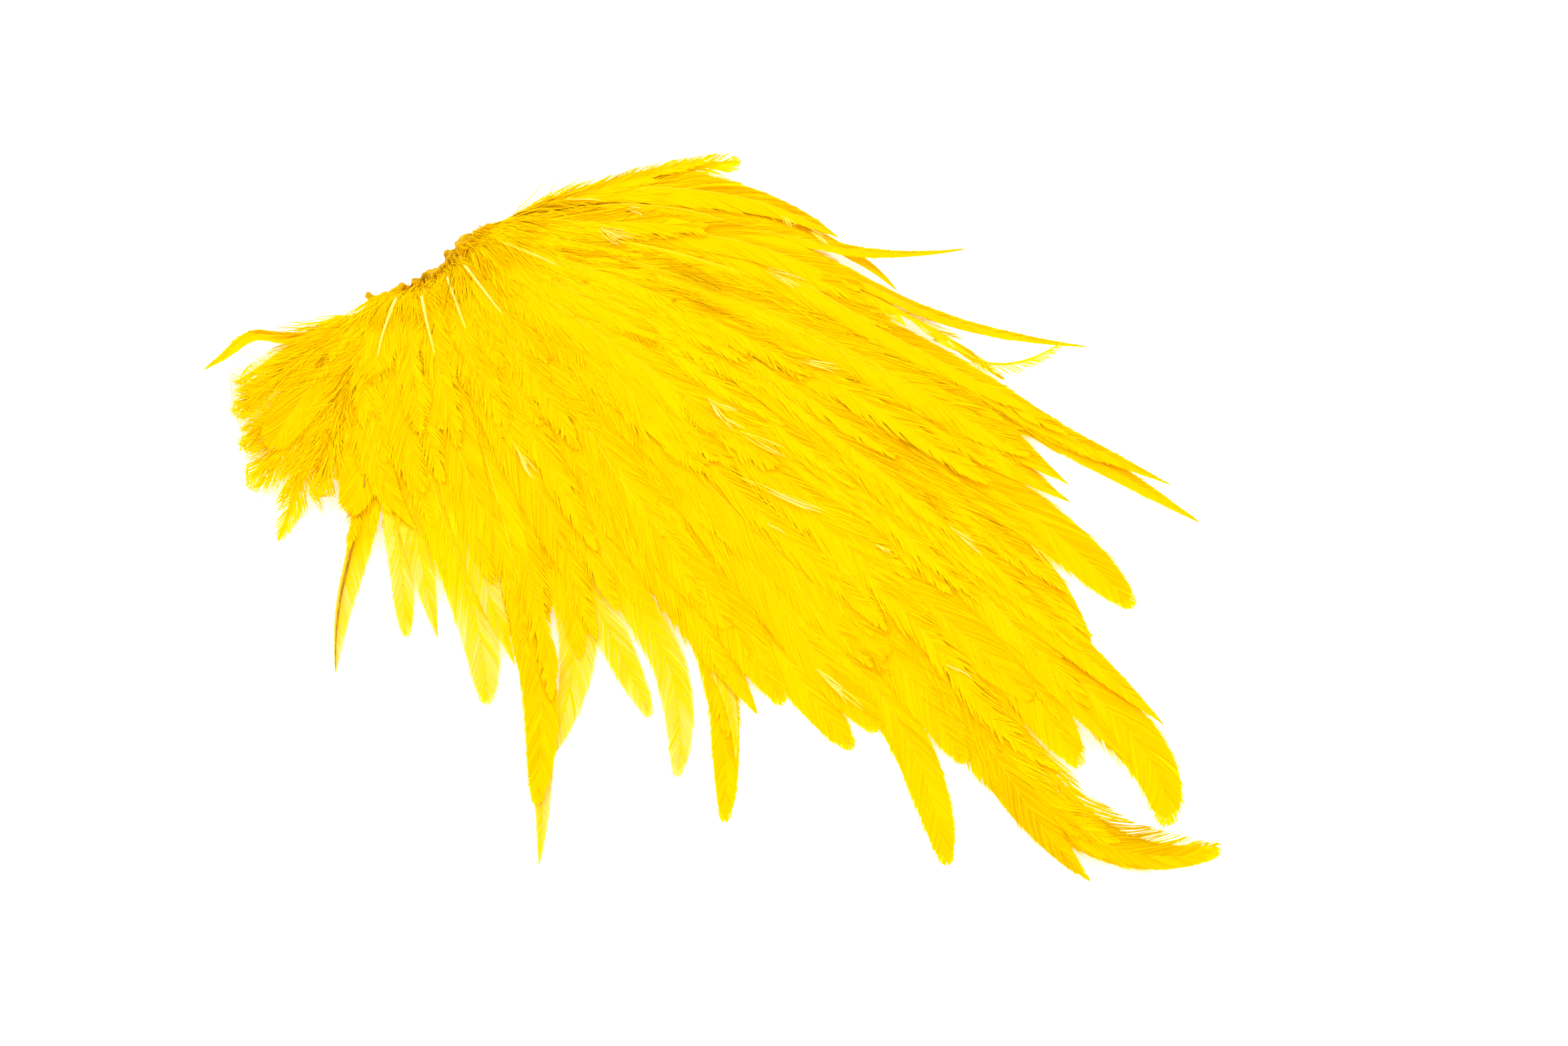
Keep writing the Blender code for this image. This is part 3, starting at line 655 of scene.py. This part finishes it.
# Nothing lies lower than FLOOR_CLEAR, and what stands out at the top is pressed down softly, so
# that it stays within TALLEST.
BARBS = vane_material()
QUILL = quill_material()
BROWN = brown_material()
FLOOR_CLEAR = 0.04
TALLEST = cad_box[1].z / MM + 0.2
SQUEEZED = 2.5


def add_piece(name, barb_parts, quill_parts, brown_parts=()):
    """One mesh of many barbs and rachises, with each corner's tone and place along its feather."""
    corners = []
    faces = []
    tones = []
    alongs = []
    slots = []
    first = 0
    for slot, parts in enumerate((barb_parts, quill_parts, brown_parts)):
        for part_corners, part_faces, tone, along in parts:
            corners.append(part_corners)
            faces.append(part_faces + first)
            tones.append(tone)
            alongs.append(along)
            slots.append(np.full(len(part_faces), slot))
            first += len(part_corners)
    corners = np.vstack(corners)
    over = np.maximum(corners[:, 2] - (TALLEST - SQUEEZED), 0.0)
    corners[:, 2] += SQUEEZED * np.tanh(over / SQUEEZED) - over
    corners[:, 2] = np.maximum(corners[:, 2], FLOOR_CLEAR)
    faces = np.vstack(faces)
    mesh = bpy.data.meshes.new(name)
    mesh.vertices.add(len(corners))
    mesh.vertices.foreach_set("co", (corners * MM).astype(np.float32).ravel())
    mesh.loops.add(3 * len(faces))
    mesh.loops.foreach_set("vertex_index", faces.astype(np.int32).ravel())
    mesh.polygons.add(len(faces))
    mesh.polygons.foreach_set("loop_start", np.arange(0, 3 * len(faces), 3, dtype=np.int32))
    mesh.polygons.foreach_set("material_index", np.concatenate(slots).astype(np.int32))
    mesh.update(calc_edges=True)
    for title, values in (("tone", tones), ("along", alongs)):
        attribute = mesh.attributes.new(title, "FLOAT", "POINT")
        attribute.data.foreach_set("value", np.concatenate(values).astype(np.float32))
    mesh.validate()
    mesh.shade_smooth()
    mesh.materials.append(BARBS)
    mesh.materials.append(QUILL)
    if brown_parts:
        mesh.materials.append(BROWN)
    thing = bpy.data.objects.new(name, mesh)
    bpy.context.scene.collection.objects.link(thing)
    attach(thing, "root")
    return thing


rng = np.random.default_rng(7)
blades = {name: read_blade(name) for layer in LAYERS for name in layer_names(layer)}

# The pile is soft, so the feathers sink into each other, and the ones below hold up the edges of
# those above. What is seen of them lies close to one smooth surface. Near the outline, and near
# their roots, they stay as high as their solids.
CELL = 0.5
GRID_LOW = np.array([-110.0, -100.0])
GRID_CELLS = (440, 400)
TRIED_ACROSS = 25
SMOOTH_OVER = 7.0
EDGE_BLUR = 4.0
EDGE_SHARE = 0.55
EDGE_FADES = 0.4
SINK_DEPTH = 0.5
SINK_SCALE = 1.25
ROOTED_OVER = 16.0
SIDE_SHARE = 0.8
EVEN_ROWS = 9


def cells(places):
    """The cells of the grid that the places are in, as their two indices."""
    found = ((places[..., :2] - GRID_LOW) / CELL).astype(int)
    return found[..., 0], found[..., 1]


def pile_top():
    """How high the solids' upper sides stand over each cell of a fine grid, and 0 elsewhere."""
    top = np.zeros(GRID_CELLS)
    for blade in blades.values():
        for share in np.linspace(-1.0, 1.0, TRIED_ACROSS):
            sideways = blade.to_left if share > 0.0 else -blade.to_right
            place = blade.middle + sideways * blade.half[:, :1] * share
            i, j = cells(place)
            for di, dj in ((0, 0), (1, 0), (0, 1)):
                np.maximum.at(top, (i + di, j + dj), place[:, 2])
    return top


def blurred(grid, reach):
    """The grid with each cell averaged with those around it."""
    steps = np.arange(-3.0 * reach, 3.0 * reach + CELL, CELL)
    kernel = np.exp(-0.5 * (steps / reach) ** 2)
    for axis in (0, 1):
        grid = np.apply_along_axis(np.convolve, axis, grid, kernel / kernel.sum(), mode="same")
    return grid


TOP = pile_top()
COVERED = TOP > 0.0
INSIDE = blurred(COVERED.astype(float), SMOOTH_OVER)
SURFACE = blurred(TOP, SMOOTH_OVER) / np.maximum(INSIDE, 1e-6)
DEEP_IN = np.clip((blurred(COVERED.astype(float), EDGE_BLUR) - EDGE_SHARE) / EDGE_FADES, 0.0, 1.0)


def settled(blade):
    """The blade as it lies in the soft pile, close below the smooth surface."""
    held = np.clip(rows_of(blade) / ROOTED_OVER, 0.0, 1.0)
    lines = []
    sides = ((0.0, blade.to_left), (SIDE_SHARE, blade.to_left), (SIDE_SHARE, blade.to_right))
    for share, sideways in sides:
        place = blade.middle + sideways * blade.half[:, :1] * share
        i, j = cells(place)
        depth = np.maximum(TOP[i, j] - place[:, 2], 0.0)
        sunk = SURFACE[i, j] - SINK_DEPTH * np.log1p(depth / SINK_SCALE)
        kernel = np.ones(EVEN_ROWS) / EVEN_ROWS
        change = (sunk - place[:, 2]) * held * DEEP_IN[i, j]
        change = np.convolve(np.pad(change, EVEN_ROWS // 2, mode="edge"), kernel, mode="valid")
        place[:, 2] += change
        lines.append(place)
    middle, left, right = lines
    return make_blade(middle, unit(left - middle), unit(right - middle), blade.half)


blades = {name: settled(blade) for name, blade in blades.items()}

# Three feathers stand out by their shape. One curls up and narrows to its tip, one has its
# rachis near its right edge, and one has a wider left vane.
CURLED = "left_feather_1"
CURL_HEIGHT = 3.8
CURL_AT = 0.62
CURL_OVER = 0.17
CURL_NARROWS = 0.45
CURL_NARROWS_AT = 0.45
BROWN_QUILLED = "hanging_feather_1"
ONE_SIDED = 0.55
WIDE_VANED = "long_feather_2"
WIDE_VANE = 1.6


def curled(blade):
    """The blade with a hump beyond its middle, from which it narrows."""
    rows = np.linspace(0.0, 1.0, len(blade.half))
    middle = blade.middle.copy()
    middle[:, 2] += CURL_HEIGHT * np.exp(-(((rows - CURL_AT) / CURL_OVER) ** 2))
    narrowing = np.clip((rows - CURL_NARROWS_AT) / CURL_OVER, 0.0, 1.0)
    half = blade.half * (1.0 - CURL_NARROWS * narrowing)[:, None]
    return make_blade(middle, blade.to_left, blade.to_right, half)


def one_sided(blade):
    """The blade with its rachis near the right edge, so that one vane is wide and one narrow."""
    middle = blade.middle + blade.to_right * blade.half[:, 1:] * ONE_SIDED
    half = blade.half * (1.0 + ONE_SIDED, 1.0 - ONE_SIDED)
    return make_blade(middle, blade.to_left, blade.to_right, half)


blades[CURLED] = curled(blades[CURLED])
blades[BROWN_QUILLED] = one_sided(blades[BROWN_QUILLED])
blades[WIDE_VANED] = blades[WIDE_VANED]._replace(half=blades[WIDE_VANED].half * (WIDE_VANE, 1.0))

# Most vanes are firm, and some are sheer or ragged. The hooked feathers are coloured deeper towards
# their tips, as painted shade for the shade that falls between them where they curl up. A few quills
# on top show pale. WEB_SHARES is how much of the half width the web takes at its start and at the
# tip.
SHEER_FEATHERS = ("hanging_feather_1", "hanging_feather_2", "hanging_feather_3",
                  "hanging_feather_4", "hanging_feather_7", "long_feather_1", "long_feather_2",
                  "long_feather_3", "long_feather_4", "long_feather_9")
RAGGED_FEATHERS = ("far_feather_2", "far_feather_5", "longest_feather_1", "right_feather_3")
FEATHERS_WITH_PAINTED_SHADE = ("longest_feather_1", "longest_feather_3", "longest_feather_4")
PALE_QUILLS = ("top_feather_2", "top_feather_3", "top_feather_4", "top_feather_5", "top_feather_9")
WITHOUT_LOOSE_DOWN = ("left_feather_1", "left_feather_2")
SLEEK = WEBBY._replace(width=0.32, uneven=0.05, overshoot=0.4, wave=0.05, gather=0.1)
WEB_SHARES = {SHEER: (0.95, 0.85), FIRM: (0.95, 0.9), WEBBY: (0.7, 0.15), SLEEK: (0.95, 0.8)}
# The web pales with its vane, this many times as much. Its paling is painted light, for the white
# surface shining through a sheer vane.
WEB_PALER_AND_PAINTED_LIGHT = 1.5
PAINTED_SHADE_DEEPENS = -1.6
BASE_DOWN = Down(count=60, first=-2.5, last=7.0, length=11.0, width=0.36, spread=7.0, wave=0.35,
                 dark=0.025)
LOOSE_DOWN = Down(count=320, first=2.0, last=40.0, length=12.0, width=0.26, spread=9.0, wave=0.6,
                  dark=0.03)

# A quill ends inside the skin, a little behind its blade and below it.
ROOT_BEHIND = 2.5
ROOT_BELOW = (0.0, 0.0, 1.2)
QUILL_THICKNESS = 0.6
QUILL_RAISED = 1.2
FULLY_DYED = 30.0
BROWN_THICKNESS = 0.9
BROWN_RAISED = 0.4
BROWN_TAPER = 0.6


def into_skin(blade):
    """The place inside the skin where a feather's quill ends."""
    return blade.middle[0] - blade.run[0] * ROOT_BEHIND - ROOT_BELOW


for name, blade in blades.items():
    lay = SHEER if name in SHEER_FEATHERS else FIRM
    if name.startswith("left") or name in RAGGED_FEATHERS:
        lay = SLEEK if name == CURLED else WEBBY
    shares = WEB_SHARES[lay]
    # The hooked feathers get a painted shade, deeper towards their tips.
    if name in FEATHERS_WITH_PAINTED_SHADE:
        lay = lay._replace(pale=PAINTED_SHADE_DEEPENS)
    barb_parts = barbs(blade, lay, rng)
    barb_parts.append(web(blade, *shares, WEB_PALER_AND_PAINTED_LIGHT * lay.pale))
    barb_parts.append(down(blade, BASE_DOWN, rng))
    if name.startswith("left") and name not in WITHOUT_LOOSE_DOWN:
        barb_parts.append(down(blade, LOOSE_DOWN, rng))
    root_end = into_skin(blade)
    if name == BROWN_QUILLED:
        brown = rachis(blade, BROWN_THICKNESS, root_end, FULLY_DYED, raised=BROWN_RAISED,
                       sinks_after=blade.length, taper=BROWN_TAPER)
        feather = add_piece(name + "_barbs", barb_parts, [], [brown])
    else:
        dyed, raised = (0.0, QUILL_RAISED) if name in PALE_QUILLS else (FULLY_DYED, 0.0)
        quill = rachis(blade, QUILL_THICKNESS, root_end, dyed, raised)
        feather = add_piece(name + "_barbs", barb_parts, [quill])
    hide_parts(name)


# The finer feathers that lie between the big ones and fill the hackle out. Each takes a course
# between two neighbours, is a little shorter, and stays inside the outline of the big ones.
# Lone feathers stand apart, with nothing beside them.
FINER = Lay(bare=1.5, spacing=0.6, lean=3.4, width=0.36, uneven=0.14, stray=0.08, overshoot=1.5,
            wave=0.1, gather=0.3, pale=0.0, sections=(0.0, 0.4, 0.75, 1.0))
FINER_WEB = (0.75, 0.5)
FINER_THICKNESS = 0.5
BETWEEN = {"low": 3, "middle": 4, "top": 5}
REACHES = {"low": (0.45, 0.8), "middle": (0.6, 0.95), "top": (0.6, 0.97)}
BELOW = {"middle": "low", "top": "middle"}
BELOW_WEIGHTS = (0.3, 0.65)
WEIGHT_VARIES = 0.08
LONE = ("right_feather_8", "far_feather_3", "left_feather_1")
FINER_WIDTHS = (2.8, 5.0)
FINER_LIFTS = (-0.5, 0.35)
FINER_OPENS_OVER = 24.0
FINER_TIPS = (26.0, 50.0)

# A course has this many rows. Past ROOTED_SHARE it ends where it would leave the outline, and
# its width keeps within the outline too. The rest shapes its lift, its base and its tip.
BLEND_ROWS = 48
ROOTED_SHARE = 0.3
FEWEST_KEPT = 12
LIFTS_BY = 4.0
LONGEST_TIP = 0.6
LONGEST_BASE = 0.5
BASE_WIDTH = 0.15
TIP_BOW = 0.7
WIDEST_CELLS = 12
OUTLINE_ROOM = 0.2


def between(one, other, weight, share, half_width, lift, opens_over, tip_length):
    """A feather on a course between two others, which is cut off at a share of their length or
    where it would leave their outline."""
    shares = np.linspace(0.0, 1.0, BLEND_ROWS)

    def rows(blade):
        given = np.linspace(0.0, 1.0, len(blade.half))
        table = np.column_stack([blade.middle, blade.to_left, blade.to_right])
        return at(shares * share, given, table)

    table = rows(one) * (1.0 - weight) + rows(other) * weight
    middle = table[:, 0:3].copy()
    middle[:, 2] += lift * np.minimum(1.0, shares * LIFTS_BY)
    outside = (shares > ROOTED_SHARE) & ~COVERED[cells(middle)]
    if outside.any():
        count = max(FEWEST_KEPT, int(np.argmax(outside)) - 1)
        table = table[:count]
        middle = middle[:count]
    along = lengths_along(middle)
    length = along[-1]
    tip = min(tip_length, LONGEST_TIP * length)
    opened = np.clip(along / min(opens_over, LONGEST_BASE * length), BASE_WIDTH, 1.0)
    narrowing = np.clip((along - (length - tip)) / tip, 0.0, 1.0)
    half = half_width * opened * (1.0 - narrowing**2) ** TIP_BOW
    steps = np.arange(1.0, WIDEST_CELLS + 1.0) * CELL
    halves = []
    for sideways in (unit(table[:, 3:6]), unit(table[:, 6:9])):
        place = middle[:, None] + sideways[:, None] * steps[:, None]
        room = np.cumprod(COVERED[cells(place)], axis=1).sum(axis=1) * CELL
        halves.append(np.minimum(half, room + OUTLINE_ROOM))
    return make_blade(middle, unit(table[:, 3:6]), unit(table[:, 6:9]), np.column_stack(halves))


def plan_distance(one, other):
    """How far apart two blades run over the last half of the length that both have, seen from
    above."""
    rows = min(len(one.half), len(other.half))
    gaps = np.linalg.norm(one.middle[:rows, :2] - other.middle[:rows, :2], axis=1)
    return gaps[rows // 2 :].mean()


def pairs_below(upper, lower):
    """Each feather of a layer with the two of the layer below that run nearest to it."""
    pairs = []
    for name in layer_names(upper):
        near = sorted(layer_names(lower), key=lambda n: plan_distance(blades[name], blades[n]))
        pairs += [(name, other) for other in near[:2]]
    return pairs


for layer, per_gap in BETWEEN.items():
    names = layer_names(layer)
    weights = [(k + 0.5) / per_gap for k in range(per_gap)]
    courses = [(pair, weight) for pair in zip(names[:-1], names[1:]) for weight in weights]
    if layer in BELOW:
        under = pairs_below(layer, BELOW[layer])
        courses += [(pair, weight) for pair in under for weight in BELOW_WEIGHTS]
    heaps = {}
    for (one, other), weight in courses:
        if one in LONE or other in LONE:
            continue
        blade = between(
            blades[one],
            blades[other],
            np.clip(weight + rng.normal(0.0, WEIGHT_VARIES), 0.0, 1.0),
            rng.uniform(*REACHES[layer]),
            rng.uniform(*FINER_WIDTHS),
            rng.uniform(*FINER_LIFTS),
            FINER_OPENS_OVER,
            rng.uniform(*FINER_TIPS),
        )
        barb_parts, quill_parts = heaps.setdefault(one.split("_")[0], ([], []))
        # Finer feathers beside the hooked ones get the same painted shade.
        lay = FINER._replace(pale=PAINTED_SHADE_DEEPENS) if one in FEATHERS_WITH_PAINTED_SHADE else FINER
        barb_parts += barbs(blade, lay, rng)
        barb_parts.append(web(blade, *FINER_WEB, lay.pale, spacing=5.0))
        quill_parts.append(
            rachis(blade, FINER_THICKNESS, into_skin(blade), FULLY_DYED, sides=4, spacing=6.0)
        )
    for group, (barb_parts, quill_parts) in heaps.items():
        add_piece(f"finer_{group}_feathers_of_{layer}_layer", barb_parts, quill_parts)


# The short, soft feathers next to the skin. They hide most of the quills, and their loose barbs
# cling together in wrinkled strands.
DOWNY = Lay(bare=0.5, spacing=0.5, lean=3.6, width=0.34, uneven=0.25, stray=0.12, overshoot=1.8,
            wave=0.5, gather=0.6, pale=0.0, sections=(0.0, 0.3, 0.55, 0.8, 1.0))
ROOT_DOWN = Down(count=45, first=-3.6, last=1.0, length=9.0, width=0.26, spread=4.0, wave=0.3,
                 dark=0.02)
SHORT_WEB = (0.8, 0.6)
SHORT_THICKNESS = 0.4
SHORT_PER_GAP = 9
SHORT_WEIGHTS = (-0.1, 1.1)
SHORT_REACHES = (0.28, 0.62)
SHORT_WIDTHS = (2.8, 5.2)
SHORT_LIFTS = (0.1, 0.8)
SHORT_OPENS_OVER = 9.0
SHORT_TIPS = (14.0, 26.0)

names = layer_names("top")
barb_parts = []
quill_parts = []
for one, other in zip(names[:-1], names[1:]):
    for _ in range(SHORT_PER_GAP):
        blade = between(
            blades[one],
            blades[other],
            rng.uniform(*SHORT_WEIGHTS),
            rng.uniform(*SHORT_REACHES),
            rng.uniform(*SHORT_WIDTHS),
            rng.uniform(*SHORT_LIFTS),
            SHORT_OPENS_OVER,
            rng.uniform(*SHORT_TIPS),
        )
        barb_parts += barbs(blade, DOWNY, rng)
        barb_parts.append(web(blade, *SHORT_WEB, spacing=4.0))
        barb_parts.append(down(blade, ROOT_DOWN, rng))
        quill_parts.append(rachis(blade, SHORT_THICKNESS, None, FULLY_DYED, sides=4, spacing=5.0))
add_piece("short_soft_feathers", barb_parts, quill_parts)


# A thin strand has come loose at the right, and its fringe hangs from it in a loop that meets
# the tip of the thin feather beside it.

# LOOP gives where the strand is seen against the surface, measured from the middle of the view,
# and how high it is. The camera looks down at ELEVATION, so what is higher lies nearer to it.
ELEVATION = math.radians(55.0)
SEEN_SHIFT = (17.0, -5.21)
NEARER_PER_HEIGHT = 1.0 / math.tan(ELEVATION)
LOOP = np.array([
    (30, 45, 3.0), (36, 41.5, 3.0), (40, 39.2, 3.0), (45, 38.8, 3.2), (50, 40.4, 3.5), (56, 44.2, 4.0)
])
FRINGE = Lay(bare=5.0, spacing=0.3, lean=1.5, width=0.17, uneven=0.25, stray=0.1, overshoot=0.8,
             wave=0.1, gather=0.3, pale=1.5, sections=(0.0, 0.3, 0.6, 1.0))
FRINGE_LENGTHS = (0.3, 1.2, 2.2, 2.8, 2.4, 0.8)
STRAND_EDGE = 0.25
STRAND_THICKNESS = 0.5
STRAND_DYED = 20.0
STRAND_TAPER = 0.2


def from_seen(seen, height):
    """Places in the frame, from where they are seen and how high they are."""
    x = seen[..., 0] + SEEN_SHIFT[0]
    y = seen[..., 1] + SEEN_SHIFT[1] - NEARER_PER_HEIGHT * height
    return np.stack([x, y, height], axis=-1)


loop = from_seen(LOOP[:, :2], LOOP[:, 2])
side = level_left(np.gradient(loop, axis=0))
half = np.column_stack([np.full(len(loop), STRAND_EDGE), FRINGE_LENGTHS])
strand = make_blade(loop, side, -side, half)
strand_quill = rachis(strand, STRAND_THICKNESS, None, STRAND_DYED, taper=STRAND_TAPER)
add_piece("loose_strand", barbs(strand, FRINGE, rng), [strand_quill])


# Here and there the top barbs part over paler ones, and a few dark ones lie crossed or creased.
# The dark ones are partly dark barbs and partly painted shade, laid along creases where shade
# falls between the barbs. The shortest dark ones are specks. Each bundle is given by where it
# starts and ends as it is seen, its spread and its count.
PALE_BUNDLES = (
    (-7, 10, 9, 1, 1.6, 9), (-3, 0, 1, -2, 1.5, 5), (32, -1, 39, -7, 1.6, 6), (48, -5, 53, -11, 2, 6),
    (7, -35, 14, -43, 2.2, 12), (31, -33, 35, -36, 1, 4), (18, -5, 21, -7, 1, 4),
    (4, 39, 13, 36, 2, 9), (-14, 29, -9, 26, 1.5, 6), (-12, 25, -8, 22, 1.5, 6),
    (-7, 21, 2, 16, 1.8, 8), (-3, 62, 4, 58, 2.4, 9), (0, 76, 3, 72, 1.8, 6), (5, 73, 10, 69, 1.8, 7),
    (-31, 78, -27, 76, 1.5, 5), (30, 45, 35, 42, 1.8, 6), (-37, 73, -30, 69, 3, 16),
    (-43, 81, -34, 81, 1.2, 5), (-14, 29, -10, 23, 1.5, 6), (-52, 18, -47, 9, 1, 6),
    (-62, 70, -49, 66, 0.4, 3), (-72, 56, -74, 47, 0.4, 3), (-75, 53, -79, 48, 0.8, 3),
)
DARK_BARBS_AND_CREASE_SHADE = (
    (28, 7, 33, -2, 1.2, 6), (32, -12, 35, -13, 0.8, 3), (18, -15, 22, -17, 0.8, 3),
    (-40, 11, -38, 5, 0.8, 3), (-25, 65, -9, 56, 2.5, 9), (-18, 54, -6, 48, 2, 7),
    (-26, 82, -19, 82, 0.6, 4), (23, 20, 26, 17, 0.8, 4), (-65, 44, -63, 38, 0.8, 4),
    (-31, 46, -22, 42, 1.5, 6), (-43, 16, -39, 7, 0.1, 2), (-61, 14, -59, 8, 0.1, 2),
    (-63, 67, -52, 63, 0.5, 4), (-84, 32, -78, 38, 0.5, 5), (-91, 42, -93, 35, 1.2, 5),
    (-86, 34, -88, 23, 1.5, 6), (-90, 22, -88, 15, 1.2, 5), (-73, 35, -72, 29, 1, 4),
    (-63, 67.4, -61.4, 66.6, 0.5, 9), (-55, 4, -53, -4, 0.4, 3), (-44, -4, -42, -8, 0.2, 2),
    (-90, 17, -91, 12, 0.6, 4), (-40.1, 59.2, -38.9, 59.0, 0.6, 12),
    (-22.3, 54.4, -21.3, 54.2, 0.5, 10), (-55.1, 20.2, -54.1, 20.0, 0.5, 10),
    (-23.7, -3.3, -22.7, -3.5, 0.4, 8),
)
PALE_TONE = 3.0
PALE_WIDTH = 0.2
# The dark tone, for dark barbs and for the painted shade in creases.
DARK_BARB_AND_SHADE_TONE = -3.0
DARK_WIDTH = 0.13
TONE_VARIES = 0.6
ABOVE_PILE = 1.1
HEIGHT_PASSES = 4
BUNDLE_SECTIONS = 7
BOWS_BY = 0.3
BARB_STARTS = (-0.2, 0.35)
BARB_LENGTHS = (0.5, 0.8)
BUNDLE_WIDTHS = (0.7, 1.2)
BUNDLE_ROLL = 0.2
END_SHARE = 0.08


def bundles(places, tone, wide, rng):
    """Thin barbs on the pile's surface that follow each other from one seen place to another."""
    parts = []
    t = np.linspace(0.0, 1.0, BUNDLE_SECTIONS)
    for x0, y0, x1, y1, spread, count in places:
        aside = rng.uniform(-0.5, 0.5, (count, 1)) * spread * (0.5 + t)
        aside += rng.normal(0.0, BOWS_BY, (count, 1)) * np.sin(math.pi * t)
        start = rng.uniform(*BARB_STARTS, (count, 1))
        along = start + rng.uniform(*BARB_LENGTHS, (count, 1)) * t
        long_way = np.array([x1 - x0, y1 - y0], float)
        across = np.array([-long_way[1], long_way[0]]) / np.hypot(*long_way)
        seen = np.array([x0, y0]) + along[..., None] * long_way + aside[..., None] * across
        height = np.zeros(seen.shape[:2])
        for _ in range(HEIGHT_PASSES):
            height = SURFACE[cells(from_seen(seen, height))] + ABOVE_PILE
        paths = from_seen(seen, height)
        up = np.array([0.0, 0.0, 1.0]) + 0.0 * paths
        pointed = np.sin(math.pi * np.clip(t, END_SHARE, 1.0)) ** 0.5
        widths = rng.uniform(*BUNDLE_WIDTHS, (count, 1)) * wide * pointed
        corners, faces = ribbons(paths, up, widths, rng.normal(0.0, BUNDLE_ROLL, count))
        tones = on_corners(tone + rng.normal(0.0, TONE_VARIES, (count, 1)) + 0.0 * t)
        parts.append((corners, faces, tones, 0.0 * tones))
    return parts


pale_barbs = bundles(PALE_BUNDLES, PALE_TONE, PALE_WIDTH, rng)
# Dark barbs, partly painted shade along creases.
dark_barbs_and_crease_shade = bundles(DARK_BARBS_AND_CREASE_SHADE, DARK_BARB_AND_SHADE_TONE, DARK_WIDTH, rng)
add_piece("pale_barbs_dark_barbs_and_crease_shade", pale_barbs + dark_barbs_and_crease_shade, [])


# The plain pale surface that the hackle lies on. It glows a little, so that it stays white in
# the hackle's own soft shade.
FLOOR_SIZE = 6.0
FLOOR_GLOW = 0.38
WHITE = (1.0, 1.0, 1.0, 1.0)
floor_mesh = bpy.data.meshes.new("floor")
bm = bmesh.new()
bmesh.ops.create_grid(bm, x_segments=1, y_segments=1, size=FLOOR_SIZE / 2.0)
bm.to_mesh(floor_mesh)
bm.free()
floor = bpy.data.objects.new("floor", floor_mesh)
bpy.context.scene.collection.objects.link(floor)
white_surface = bpy.data.materials.new("white_surface")
white_surface.use_nodes = True
paint = white_surface.node_tree.nodes["Principled BSDF"].inputs
paint["Base Color"].default_value = (0.93, 0.93, 0.93, 1.0)
paint["Roughness"].default_value = 0.8
paint["Specular IOR Level"].default_value = 0.1
paint["Emission Color"].default_value = WHITE
paint["Emission Strength"].default_value = FLOOR_GLOW
floor_mesh.materials.append(white_surface)


# The soft light comes evenly from all around, as in a white tent.
SKY_STRENGTH = 1.63
world = bpy.data.worlds.new("soft_room")
bpy.context.scene.world = world
world.use_nodes = True
light = world.node_tree.nodes["Background"].inputs
light["Color"].default_value = WHITE
light["Strength"].default_value = SKY_STRENGTH
bpy.context.scene.view_settings.view_transform = "Standard"


# The camera stands in front of the hackle and looks down on it with a long lens.
AIM = Vector((17.0, -5.2, 0.0)) * MM
DISTANCE = 764.0 * MM
LENS = 90.0
SENSOR_WIDTH = 36.0
camera_data = bpy.data.cameras.new("camera")
camera_data.lens = LENS
camera_data.sensor_width = SENSOR_WIDTH
camera = bpy.data.objects.new("camera", camera_data)
camera.location = AIM + Vector((0.0, -math.cos(ELEVATION), math.sin(ELEVATION))) * DISTANCE
camera.rotation_euler = (math.pi / 2.0 - ELEVATION, 0.0, 0.0)
bpy.context.scene.collection.objects.link(camera)
bpy.context.scene.camera = camera
